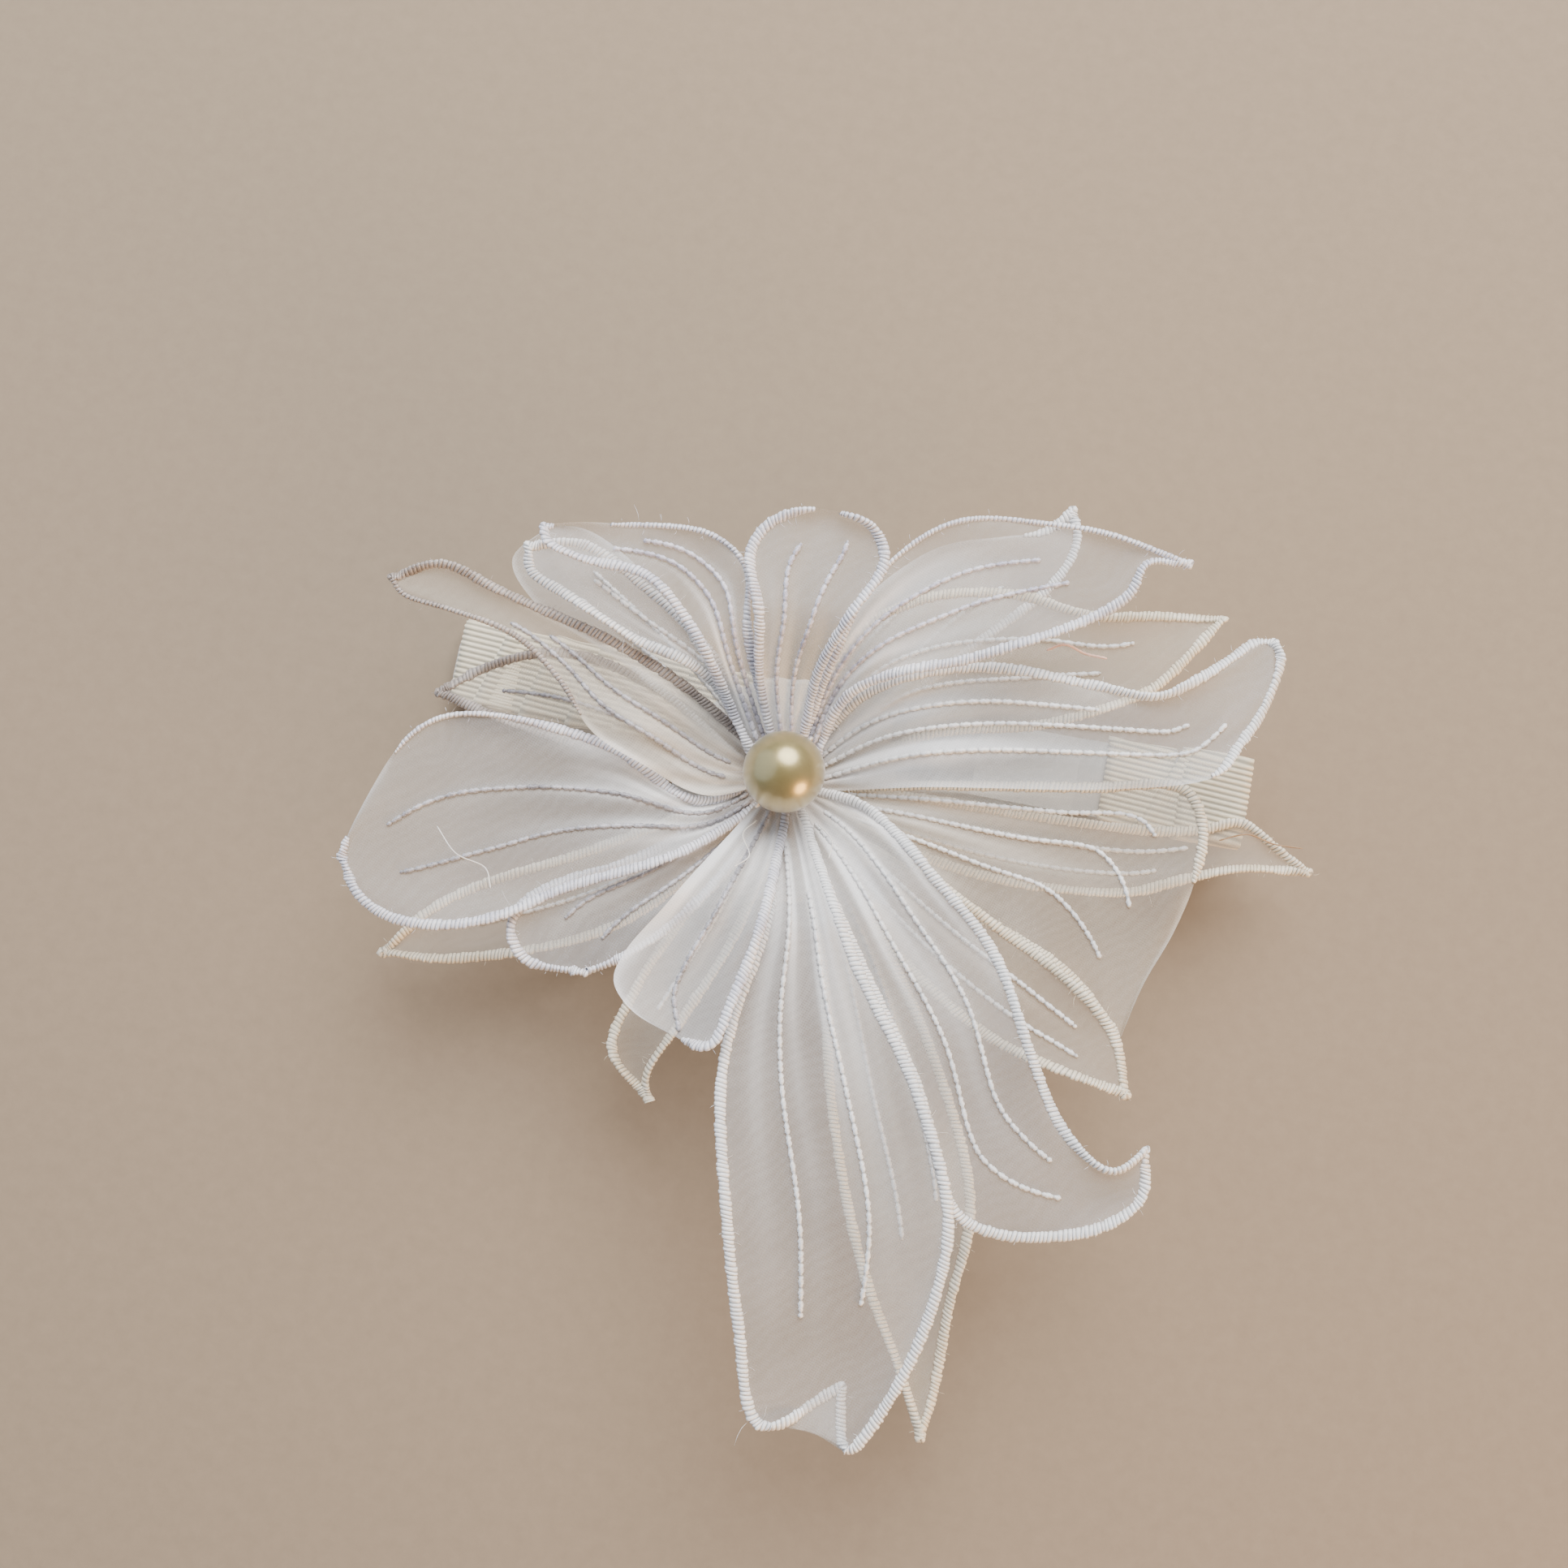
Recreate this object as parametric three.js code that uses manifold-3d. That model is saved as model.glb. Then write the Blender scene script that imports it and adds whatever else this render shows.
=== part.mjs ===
// Flower hair clip: a sheer petal flower under a pearl bead, sewn on a ribbon-covered beak clip.
// Millimetres, +Z up. The clip lies along X with its mouth at -X, and the flower faces +Z.
// The lower arm's flat underside is the plane z = 0, and its middle is the origin.
import * as THREE from 'three';
import Module from 'manifold-3d';

// ---- Driving dimensions ----
const PEARL_DIAMETER = 12; // the bead that the flower is sized from
const PETAL_SCALE = 1; // scales the plan of every petal
const PETAL_THICKNESS = 0.35;
const PETAL_RISE = 0.1; // climb of the lowest petal, per millimetre of radius
const FLOWER_X = -7; // the flower's axis
const FLOWER_Y = -10.7;
const FLOWER_TURN = 11; // degrees from the clip's axis to the petals' zero direction

const CLIP_LENGTH = 126;
const STRIP_WIDTH = 12;
const STEEL = 0.9;
const PIVOT_X = 30;
const HUMP_RISE = 3.5; // how far the upper arm steps up to pass over the spring
const LEVER_RISE = 4.4; // climb of the lever from the hump to its end
const PIN_RADIUS = 0.9;
const PIN_Z = 3.6;
const BORE_CLEARANCE = 0.05;

const RIBBON = 0.5; // grosgrain, one layer
const RIBBON_LAP = 0.25; // extra where one turn of ribbon lies on the turn before
const TURN_PITCH = 8; // one turn of the wrapped ribbon
const LINING = 0.6;
const FELT = 1.2;
const FELT_RADIUS = 18;
const CORE_RADIUS = 2.2;
const THREAD_RADIUS = 0.3;
const GAP = 0.25; // room left between pieces that are glued or sewn together
const JAW_GAP = 0.3; // between the lining and the wrapped jaw, closed

// ---- Heights, from the bottom up ----
const LINING_Z = STEEL + GAP;
const UPPER_Z = LINING_Z + LINING + JAW_GAP + RIBBON + RIBBON_LAP + GAP;
const FELT_Z = UPPER_Z + STEEL + GAP + RIBBON + RIBBON_LAP + GAP;
const PETAL_Z = FELT_Z + FELT + 0.4;
const HUMP_Z = UPPER_Z + HUMP_RISE;
const END_X = CLIP_LENGTH / 2;

// ---- Petals, from the lowest to the highest ----
// Plan of each petal in the flower's own axes, in millimetres from the gather: the points its
// left and right edges pass through on the way out, as seen from the gather, and its tip.
const PETALS = [
  {
    name: 'petal_lower_1',
    left: [[30, -3], [55, -7], [64, -7], [70, -6], [75, -10]],
    right: [[30, -14], [52, -17], [61, -15], [69, -13.5]],
    tip: [80, -14],
  },
  {
    name: 'petal_lower_2',
    left: [[-26, -22], [-50, -27]],
    right: [[-30, -10], [-52, -18]],
    tip: [-61, -26],
  },
  {
    name: 'petal_lower_3',
    left: [[10, 26], [22, 36], [34, 38.5], [41, 39.7]],
    right: [[28, 20], [43, 32], [45.8, 38]],
    tip: [45.2, 43],
  },
  {
    name: 'petal_lower_4',
    left: [[12, -18], [22, -40], [27.5, -62], [24, -77], [21.5, -90]],
    right: [[5, -24], [7, -50], [11, -71], [16.5, -86]],
    tip: [19.5, -95.5],
  },
  {
    name: 'petal_lower_5',
    left: [[-30, 5], [-45, 10]],
    right: [[-20, 15], [-33, 20], [-46, 17.5]],
    tip: [-53, 13.5],
  },
  {
    name: 'petal_lower_6',
    left: [[10, 22], [20, 28], [34.5, 29], [47, 25], [57, 25]],
    right: [[22, 7], [41, 8.5], [55, 13], [59, 16]],
    tip: [67, 24.5],
  },
  {
    name: 'petal_lower_7',
    left: [[-8, -25], [-15, -36], [-20, -44]],
    right: [[-15, -20], [-22, -31], [-25.5, -40]],
    tip: [-19.5, -48],
  },
  {
    name: 'petal_middle_1',
    left: [[-22, 16], [-38, 27], [-41, 33]],
    right: [[-12, 20], [-24, 34], [-30, 38]],
    tip: [-36, 38.5],
  },
  {
    name: 'petal_middle_2',
    left: [[28, -1], [46, -1.5], [59, -2], [61.5, -8], [60, -16], [57, -23], [52, -31]],
    right: [[14, -11], [28, -20.5], [41, -29]],
    tip: [48.5, -38.5],
  },
  {
    name: 'petal_middle_3',
    left: [[-14, -20], [-23, -26.5]],
    right: [[-22, -12], [-36, -17], [-40, -22], [-38, -27]],
    tip: [-29, -29],
  },
  {
    name: 'petal_middle_4',
    left: [[27, -19], [40, -29], [47.5, -38]],
    right: [[16, -26], [29, -38], [37, -42]],
    tip: [49, -46.5],
  },
  {
    name: 'petal_middle_5',
    left: [[-15, -11.4], [-32, -17], [-41, -21], [-48.5, -22.4], [-56.5, -21.3], [-61.5, -17.9]],
    right: [[-13, -3], [-26, 4.6], [-42, 8.7], [-49.5, 8.5], [-54, 6.2], [-57.5, 2], [-63, -9]],
    tip: [-64, -12.5],
  },
  {
    name: 'petal_middle_6',
    left: [
      [11, 12], [19, 15], [29, 16], [45.5, 13], [54, 11],
      [60, 13.5], [65.5, 17], [69, 19.3],
    ],
    right: [[27, -2], [46, -2.5], [62, -1], [66, 3.5], [69.5, 8], [72, 13.5], [72.7, 16.9]],
    tip: [71.8, 19.2],
  },
  {
    name: 'petal_middle_7',
    left: [[-12, -2.5], [-20, 1], [-28, 6], [-33, 13.5], [-39, 19.5], [-49, 23.5], [-56, 26]],
    right: [[-14, 13], [-25, 19.5], [-42, 27], [-50, 30.5]],
    tip: [-57.5, 28.5],
  },
  {
    name: 'petal_upper_1',
    left: [[12, -4], [22, -15.5], [30, -26], [34.5, -40], [39.5, -51.5], [45, -56]],
    right: [[10.5, -27], [18.5, -45], [23.5, -62], [29, -65], [36, -65.5], [44, -64]],
    tip: [50, -55],
  },
  {
    name: 'petal_upper_2',
    left: [[-10.5, 13.5], [-22.5, 19.5], [-32, 25.5], [-37, 29]],
    right: [[-10, 17], [-20, 27], [-29, 33]],
    tip: [-37.5, 33],
  },
  {
    name: 'petal_upper_3',
    left: [[7, 17], [13, 28], [21, 34.5], [28, 36.5], [39.5, 35.5], [49, 33]],
    right: [[9.5, 11.5], [27.5, 16], [39.5, 19.5], [49.5, 24.5], [52, 29]],
    tip: [58.5, 29],
  },
  {
    name: 'petal_upper_4',
    left: [[10, -27], [18, -44], [22.5, -61], [21.5, -70], [16, -84]],
    right: [[-2.5, -21], [-7.5, -36], [-9, -45], [-8, -62], [-6.5, -76], [-3.5, -90]],
    tip: [8, -94],
  },
  {
    name: 'petal_upper_5',
    left: [[-14, 21], [-20, 27.5], [-30, 30], [-34, 32]],
    right: [[-5, 19.5], [-5.5, 29.5], [-10, 33.5], [-17, 35], [-26, 35]],
    tip: [-34.5, 34.5],
  },
  {
    name: 'petal_upper_6',
    left: [[-3, -22.5], [-7, -33], [-10, -39]],
    right: [[-16, -19], [-22, -26], [-23.5, -30], [-21, -34]],
    tip: [-14.5, -38],
  },
  {
    name: 'petal_upper_7',
    left: [[-3.8, 14], [-3.8, 22], [-5, 30.5], [-2.5, 34.5], [3, 36.3]],
    right: [[5, 14], [9, 20.5], [14.5, 29], [13, 33.5]],
    tip: [8, 35.8],
  },
];
const PETAL_START = CORE_RADIUS + 0.7; // the gathered end of every petal, from the axis
const PETAL_ROOT = 4; // width of that end
const PETAL_CUP = 1.2; // how far the long edges stand above the middle
const TIP_CURL = 1.5; // how far the tips of the upper petals turn up
const BASE_PITCH = 0.6; // between two petals at the gather
const OPEN_PITCH = 1.25; // between two petals where the flower is fullest
const OUTER_PITCH = 0.8; // between two petals at the longest tips

const TOP_LEVEL = PETALS.length - 1;
const TOP_PETAL_Z = PETAL_Z + PETAL_RISE * PETAL_START + TOP_LEVEL * BASE_PITCH;
const CORE_TOP = TOP_PETAL_Z + 2;
const PEARL_RADIUS = PEARL_DIAMETER / 2;
const PEARL_Z = CORE_TOP + 0.3 + PEARL_RADIUS;
const PEARL_HOLE = 0.6;
const BEAD_THREAD_RADIUS = 0.25;
const BEAD_THREAD_TURN = 62; // degrees, the direction of the bead's hole

const STEEL_GREY = 0xb9bcc0;
const RIBBON_IVORY = 0xefe8da;
const ORGANZA_WHITE = 0xf4f3ef;
const THREAD_WHITE = 0xf7f4ea;
const PEARL_CHAMPAGNE = 0xb9a878;

const wasm = await Module();
wasm.setup();

const flower = new THREE.Group();
flower.name = 'flower_hair_clip';

const radians = THREE.MathUtils.degToRad;
const smooth = THREE.MathUtils.smoothstep;

// ---- Closed bodies from loops of points ----

// Joins loops of equal length into one closed body. The two ends are closed with rungs between
// point i and its partner counted from the other end, or joined to each other for a ring.
function loft(loops, ring = false) {
  const size = loops[0].length;
  const points = loops.flat();
  const faces = [];
  const quad = (a, b, c, d) => faces.push([a, b, c], [a, c, d]);
  const spans = ring ? loops.length : loops.length - 1;
  for (let i = 0; i < spans; i += 1) {
    const here = i * size;
    const next = ((i + 1) % loops.length) * size;
    for (let j = 0; j < size; j += 1) {
      const k = (j + 1) % size;
      quad(here + j, here + k, next + k, next + j);
    }
  }
  if (!ring) {
    const last = (loops.length - 1) * size;
    for (let j = 0; j < size / 2 - 1; j += 1) {
      quad(j, size - 1 - j, size - 2 - j, j + 1);
      quad(last + j, last + j + 1, last + size - 2 - j, last + size - 1 - j);
    }
  }
  return outward({ points, faces });
}

// Turns every face round if the body encloses a negative volume.
function outward(body) {
  let volume = 0;
  for (const [a, b, c] of body.faces) {
    const [p, q, r] = [body.points[a], body.points[b], body.points[c]];
    volume += p.dot(new THREE.Vector3().crossVectors(q, r));
  }
  if (volume < 0) {
    body.faces = body.faces.map(([a, b, c]) => [a, c, b]);
  }
  return body;
}

// A loop of points on a circle, in the plane of the two given directions.
function circle(centre, radius, sideways, upward, count) {
  return Array.from({ length: count }, (_, i) => {
    const angle = (2 * Math.PI * (i + 0.5)) / count;
    return centre
      .clone()
      .addScaledVector(sideways, radius * Math.cos(angle))
      .addScaledVector(upward, radius * Math.sin(angle));
  });
}

// A round thread or wire along a list of points, with flat ends.
function tube(path, radius, sides) {
  const curve = new THREE.CatmullRomCurve3(path);
  const count = path.length * 2;
  const frames = curve.computeFrenetFrames(count);
  const loops = [];
  for (let i = 0; i <= count; i += 1) {
    loops.push(
      circle(curve.getPointAt(i / count), radius, frames.normals[i], frames.binormals[i], sides),
    );
  }
  return loft(loops);
}

// A body of revolution about a line through centre: steps are pairs of distance and radius.
function turned(centre, axis, sideways, steps, count, ring = false) {
  const upward = new THREE.Vector3().crossVectors(axis, sideways);
  const loops = steps.map(([along, radius]) =>
    circle(centre.clone().addScaledVector(axis, along), radius, sideways, upward, count),
  );
  return loft(loops, ring);
}

function add(name, body, color, roughness, metalness = 0) {
  const geometry = new THREE.BufferGeometry();
  const positions = body.points.flatMap((p) => [p.x, p.y, p.z]);
  geometry.setAttribute('position', new THREE.Float32BufferAttribute(positions, 3));
  geometry.setIndex(body.faces.flat());
  geometry.computeVertexNormals();
  const material = new THREE.MeshStandardMaterial({ color, roughness, metalness });
  const mesh = new THREE.Mesh(geometry, material);
  mesh.name = name;
  flower.add(mesh);
}

// ---- Booleans, for the arms only ----

function solid(body) {
  const vertProperties = Float32Array.from(body.points.flatMap((p) => [p.x, p.y, p.z]));
  const triVerts = Uint32Array.from(body.faces.flat());
  return new wasm.Manifold(new wasm.Mesh({ numProp: 3, vertProperties, triVerts }));
}

function bodyOf(manifold) {
  const { vertProperties, triVerts, numProp } = manifold.getMesh();
  const points = [];
  for (let i = 0; i < vertProperties.length; i += numProp) {
    points.push(new THREE.Vector3(...vertProperties.slice(i, i + 3)));
  }
  const faces = [];
  for (let i = 0; i < triVerts.length; i += 3) {
    faces.push(Array.from(triVerts.slice(i, i + 3)));
  }
  return { points, faces };
}

// ---- Clip arms ----

// Underside of the upper arm: flat along the jaw, up over the spring, then up to the lever's end.
const HUMP_START = PIVOT_X - 8;
const HUMP_END = PIVOT_X + 8;
const UPPER_PROFILE = [
  [-END_X, UPPER_Z],
  [HUMP_START - 10, UPPER_Z],
  [HUMP_START, HUMP_Z - 0.3],
  [HUMP_END, HUMP_Z + 0.3],
  [END_X, HUMP_Z + 0.3 + LEVER_RISE],
];
const LOWER_PROFILE = [
  [-END_X, 0],
  [END_X, 0],
];

function heightAt(profile, x) {
  const i = Math.max(1, profile.findIndex(([end]) => x <= end));
  const [[x0, z0], [x1, z1]] = [profile[i - 1], profile[i]];
  return z0 + ((z1 - z0) * (x - x0)) / (x1 - x0);
}

// A sheet-metal strip with round corners that follows a profile.
function strip(profile) {
  const corner = 3.5;
  const ends = [0, 0.08, 0.3, 0.6, 1];
  const stations = [
    ...ends.map((t) => -END_X + corner * t),
    ...profile.slice(1, -1).map(([x]) => x),
    ...ends.map((t) => END_X - corner * t).reverse(),
  ];
  return loft(
    stations.map((x) => {
      const inside = Math.min(1, (END_X - Math.abs(x)) / corner);
      const half = STRIP_WIDTH / 2 - corner * (1 - Math.sqrt(1 - (1 - inside) ** 2));
      const z = heightAt(profile, x);
      return [
        new THREE.Vector3(x, -half, z),
        new THREE.Vector3(x, half, z),
        new THREE.Vector3(x, half, z + STEEL),
        new THREE.Vector3(x, -half, z + STEEL),
      ];
    }),
  );
}

// One lug round the pin. rootZ is the height where it grows out of its strip.
function ear(rootZ, y) {
  const side = Math.sign(PIN_Z - rootZ);
  const radius = 1.9;
  const outline = [[-3.2, rootZ - PIN_Z]];
  for (let angle = 190; angle >= -10; angle -= 20) {
    const a = radians(angle);
    outline.push([radius * Math.cos(a), side * radius * Math.sin(a)]);
  }
  outline.push([3.2, rootZ - PIN_Z]);
  if (outline.length % 2) {
    outline.splice(6, 1);
  }
  return loft(
    [y, y + Math.sign(y) * STEEL].map((at) =>
      outline.map(([x, z]) => new THREE.Vector3(PIVOT_X + x, at, PIN_Z + z)),
    ),
  );
}

const PIN_CENTRE = new THREE.Vector3(PIVOT_X, 0, PIN_Z);
const ALONG_Y = new THREE.Vector3(0, 1, 0);
const ALONG_X = new THREE.Vector3(1, 0, 0);
const LOWER_EAR_Y = 3.1;
const UPPER_EAR_Y = LOWER_EAR_Y + STEEL + GAP;

function arm(profile, earRootZ, earY) {
  const boreRadius = PIN_RADIUS + BORE_CLEARANCE;
  const reach = STRIP_WIDTH;
  const bore = turned(PIN_CENTRE, ALONG_Y, ALONG_X, [[-reach, boreRadius], [reach, boreRadius]], 32);
  return bodyOf(
    solid(strip(profile))
      .add(solid(ear(earRootZ, earY)))
      .add(solid(ear(earRootZ, -earY)))
      .subtract(solid(bore)),
  );
}

add('lower_arm', arm(LOWER_PROFILE, STEEL / 2, LOWER_EAR_Y), STEEL_GREY, 0.35, 1);
add('upper_arm', arm(UPPER_PROFILE, HUMP_Z + STEEL / 2, UPPER_EAR_Y), STEEL_GREY, 0.35, 1);

const HEAD_Y = UPPER_EAR_Y + STEEL + GAP;
const HEAD_RADIUS = 1.4;
const PIN_STEPS = [
  [-HEAD_Y - 0.6, HEAD_RADIUS],
  [-HEAD_Y, HEAD_RADIUS],
  [-HEAD_Y, PIN_RADIUS],
  [HEAD_Y, PIN_RADIUS],
  [HEAD_Y, HEAD_RADIUS],
  [HEAD_Y + 0.6, HEAD_RADIUS],
];
add('hinge_pin', turned(PIN_CENTRE, ALONG_Y, ALONG_X, PIN_STEPS, 32), STEEL_GREY, 0.3, 1);

// Torsion spring round the pin: one leg lies along the lower arm, the other under the upper arm.
function springPath() {
  const coil = 1.9;
  const halfWidth = 2.2;
  const turns = 4;
  const perTurn = 12;
  const path = [
    new THREE.Vector3(PIVOT_X - 13, -halfWidth, 1.55),
    new THREE.Vector3(PIVOT_X - 8, -halfWidth, 1.6),
    new THREE.Vector3(PIVOT_X - 3, -halfWidth, PIN_Z - coil),
  ];
  for (let i = 0; i <= turns * perTurn + perTurn / 2; i += 1) {
    const angle = radians(-90 + (360 * i) / perTurn);
    const y = -halfWidth + (2 * halfWidth * i) / (turns * perTurn + perTurn / 2);
    path.push(
      new THREE.Vector3(PIVOT_X + coil * Math.cos(angle), y, PIN_Z + coil * Math.sin(angle)),
    );
  }
  path.push(new THREE.Vector3(PIVOT_X - 3, halfWidth, PIN_Z + coil - 0.05));
  path.push(new THREE.Vector3(PIVOT_X - 6.5, halfWidth, PIN_Z + coil - 0.2));
  return path;
}
add('torsion_spring', tube(springPath(), 0.4, 8), STEEL_GREY, 0.3, 1);

// ---- Ribbon ----

function roundedBox(x, z, halfWidth, halfHeight, corner) {
  const loop = [];
  const corners = [
    [1, 1, 0],
    [-1, 1, 90],
    [-1, -1, 180],
    [1, -1, 270],
  ];
  for (const [sy, sz, start] of corners) {
    for (const step of [0, 30, 60, 90]) {
      const a = radians(start + step);
      const y = sy * (halfWidth - corner) + corner * Math.cos(a);
      loop.push(new THREE.Vector3(x, y, z + sz * (halfHeight - corner) + corner * Math.sin(a)));
    }
  }
  return loop;
}

// Ribbon wound round the upper arm, each turn lapping the one before, open at both ends.
function wrap(start, end) {
  const centre = (x) => heightAt(UPPER_PROFILE, Math.min(x, END_X)) + STEEL / 2;
  const box = (x, out, corner) =>
    roundedBox(x, centre(x), STRIP_WIDTH / 2 + out, STEEL / 2 + out, corner);
  const turns = Math.round((end - start) / TURN_PITCH);
  const pitch = (end - start) / turns;
  const outer = [];
  for (let i = 0; i < turns; i += 1) {
    const thick = GAP + RIBBON;
    outer.push(box(start + i * pitch, thick, 0.7));
    outer.push(box(start + (i + 0.94) * pitch, thick + RIBBON_LAP, 0.7));
  }
  outer.push(box(end, GAP + RIBBON, 0.7));
  return loft([...outer, box(end, GAP, 0.3), box(start, GAP, 0.3)], true);
}
const WRAP_END = HUMP_START - 14;
add('ribbon_wrap_jaw', wrap(-END_X + 0.4, WRAP_END), RIBBON_IVORY, 0.85);
add('ribbon_wrap_lever', wrap(HUMP_END + 4, END_X + 0.5), RIBBON_IVORY, 0.85);

function slab(x0, x1, halfWidth, z, thickness) {
  return loft(
    [x0, x1].map((x) => [
      new THREE.Vector3(x, -halfWidth, z),
      new THREE.Vector3(x, halfWidth, z),
      new THREE.Vector3(x, halfWidth, z + thickness),
      new THREE.Vector3(x, -halfWidth, z + thickness),
    ]),
  );
}
const LINING_HALF = STRIP_WIDTH / 2 - 0.6;
add('jaw_lining', slab(-END_X + 4, WRAP_END, LINING_HALF, LINING_Z, LINING), RIBBON_IVORY, 0.85);

// ---- Flower base, gather and bead ----

const UP = new THREE.Vector3(0, 0, 1);
const axisPoint = (z) => new THREE.Vector3(FLOWER_X, FLOWER_Y, z);

const FELT_STEPS = [
  [0, FELT_RADIUS - 0.3],
  [0.3, FELT_RADIUS],
  [FELT - 0.3, FELT_RADIUS],
  [FELT, FELT_RADIUS - 0.3],
];
add('felt_base', turned(axisPoint(FELT_Z), UP, ALONG_X, FELT_STEPS, 48), ORGANZA_WHITE, 0.95);

// The gathered cloth ends, fluted by their folds.
function gather() {
  const bottom = FELT_Z + FELT + GAP;
  const heights = [bottom, CORE_TOP - 0.6, CORE_TOP];
  const radii = [CORE_RADIUS, CORE_RADIUS, CORE_RADIUS - 0.6];
  return loft(
    heights.map((z, i) =>
      circle(axisPoint(z), 1, ALONG_X, ALONG_Y, 36).map((p, j) => {
        const radius = radii[i] * (0.94 + 0.06 * Math.cos(j * Math.PI * 0.5));
        return p.sub(axisPoint(z)).multiplyScalar(radius).add(axisPoint(z));
      }),
    ),
  );
}
add('gather_core', gather(), ORGANZA_WHITE, 0.8);

// Thread wound round the gather, just above the highest petal.
function bindingPath() {
  const radius = CORE_RADIUS + GAP + THREAD_RADIUS;
  const turns = 2;
  const perTurn = 14;
  return Array.from({ length: turns * perTurn }, (_, i) => {
    const angle = radians((360 * i) / perTurn);
    const z = TOP_PETAL_Z + 0.8 + (i / perTurn) * (THREAD_RADIUS * 2 + 0.1) * 0.9;
    return axisPoint(z).add(
      new THREE.Vector3(radius * Math.cos(angle), radius * Math.sin(angle), 0),
    );
  });
}
add('binding_thread', tube(bindingPath(), THREAD_RADIUS * 0.85, 8), THREAD_WHITE, 0.7);

// The bead is drilled right through; its thread leaves both ends of the hole and runs down.
const HOLE_DIRECTION = ALONG_X.clone().applyAxisAngle(UP, radians(BEAD_THREAD_TURN));
function bead() {
  const rim = Math.sqrt(PEARL_RADIUS ** 2 - PEARL_HOLE ** 2);
  const steps = [];
  const count = 22;
  for (let i = 0; i <= count; i += 1) {
    const start = Math.asin(PEARL_HOLE / PEARL_RADIUS);
    const angle = start + ((Math.PI - 2 * start) * i) / count;
    steps.push([-PEARL_RADIUS * Math.cos(angle), PEARL_RADIUS * Math.sin(angle)]);
  }
  steps.push([rim * 0.5, PEARL_HOLE], [-rim * 0.5, PEARL_HOLE]);
  return turned(axisPoint(PEARL_Z), HOLE_DIRECTION, UP, steps, 36, true);
}
add('pearl_bead', bead(), PEARL_CHAMPAGNE, 0.2);

function beadThreadPath() {
  const around = PEARL_RADIUS + 0.5;
  const side = [];
  for (let angle = -55; angle <= -3; angle += 8.5) {
    side.push([around * Math.cos(radians(angle)), around * Math.sin(radians(angle))]);
  }
  side.push([PEARL_RADIUS + 0.15, 0], [PEARL_RADIUS * 0.8, 0], [PEARL_RADIUS * 0.3, 0]);
  const whole = [...side, ...side.map(([u, z]) => [-u, z]).reverse()];
  return whole.map(([u, z]) => axisPoint(PEARL_Z + z).addScaledVector(HOLE_DIRECTION, u));
}
add('bead_thread', tube(beadThreadPath(), BEAD_THREAD_RADIUS, 8), THREAD_WHITE, 0.7);

// ---- Petals ----

// Height of a petal's middle surface at a radius. A higher level is above a lower one everywhere.
function petalHeight(level, radius) {
  const pitch =
    BASE_PITCH +
    (OPEN_PITCH - BASE_PITCH) * smooth(radius, 4, 24) -
    (OPEN_PITCH - OUTER_PITCH) * smooth(radius, 60, 98);
  return PETAL_Z + PETAL_RISE * radius + level * pitch;
}

// One edge of a petal, from the gather to the tip. side is 1 for the left edge, -1 for the right.
function edgeCurve(petal, points, side) {
  const [tipX, tipY] = petal.tip;
  const reach = Math.hypot(tipX, tipY);
  const outX = tipX / reach;
  const outY = tipY / reach;
  const rootHalf = (side * PETAL_ROOT) / 2;
  const root = new THREE.Vector3(
    outX * PETAL_START - outY * rootHalf,
    outY * PETAL_START + outX * rootHalf,
    0,
  );
  const outline = [...points, petal.tip].map(([x, y]) =>
    new THREE.Vector3(x, y, 0).multiplyScalar(PETAL_SCALE),
  );
  return new THREE.CatmullRomCurve3([root, ...outline], false, 'centripetal');
}

function petalBody(petal, level) {
  const stations = [0, 0.06, 0.13, 0.21, 0.3, 0.39, 0.48, 0.57, 0.66, 0.74, 0.81, 0.87, 0.92, 0.96];
  const tipStation = 0.985;
  const across = [0, 0.12, 0.3, 0.5, 0.7, 0.88, 1];
  const left = edgeCurve(petal, petal.left, 1);
  const right = edgeCurve(petal, petal.right, -1);
  const curl = petal.name.includes('upper') ? TIP_CURL : 0;
  const surface = (share, way) => {
    const plan = right.getPointAt(share).lerp(left.getPointAt(share), way);
    const cup = PETAL_CUP * (2 * way - 1) ** 2 * smooth(share, 0.25, 0.7) * (1 - share ** 6);
    const z = petalHeight(level, plan.length()) + cup + curl * smooth(share, 0.75, 1);
    return plan.applyAxisAngle(UP, radians(FLOWER_TURN)).add(axisPoint(z));
  };
  const layer = (share, lift) =>
    across.map((way) => surface(share, way).addScaledVector(UP, lift * PETAL_THICKNESS));
  return loft(
    [...stations, tipStation].map((share) => [
      ...layer(share, 0.5),
      ...layer(share, -0.5).reverse(),
    ]),
  );
}

PETALS.forEach((petal, level) => {
  add(petal.name, petalBody(petal, level), ORGANZA_WHITE, 0.6);
});

export default flower;
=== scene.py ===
"""Flower hair clip: sheer organza petals with satin-stitched edges round a pearl bead, on a
ribbon-wrapped beak clip. Lengths in this file are millimetres until the mesh is made."""
import math
import random

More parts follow.
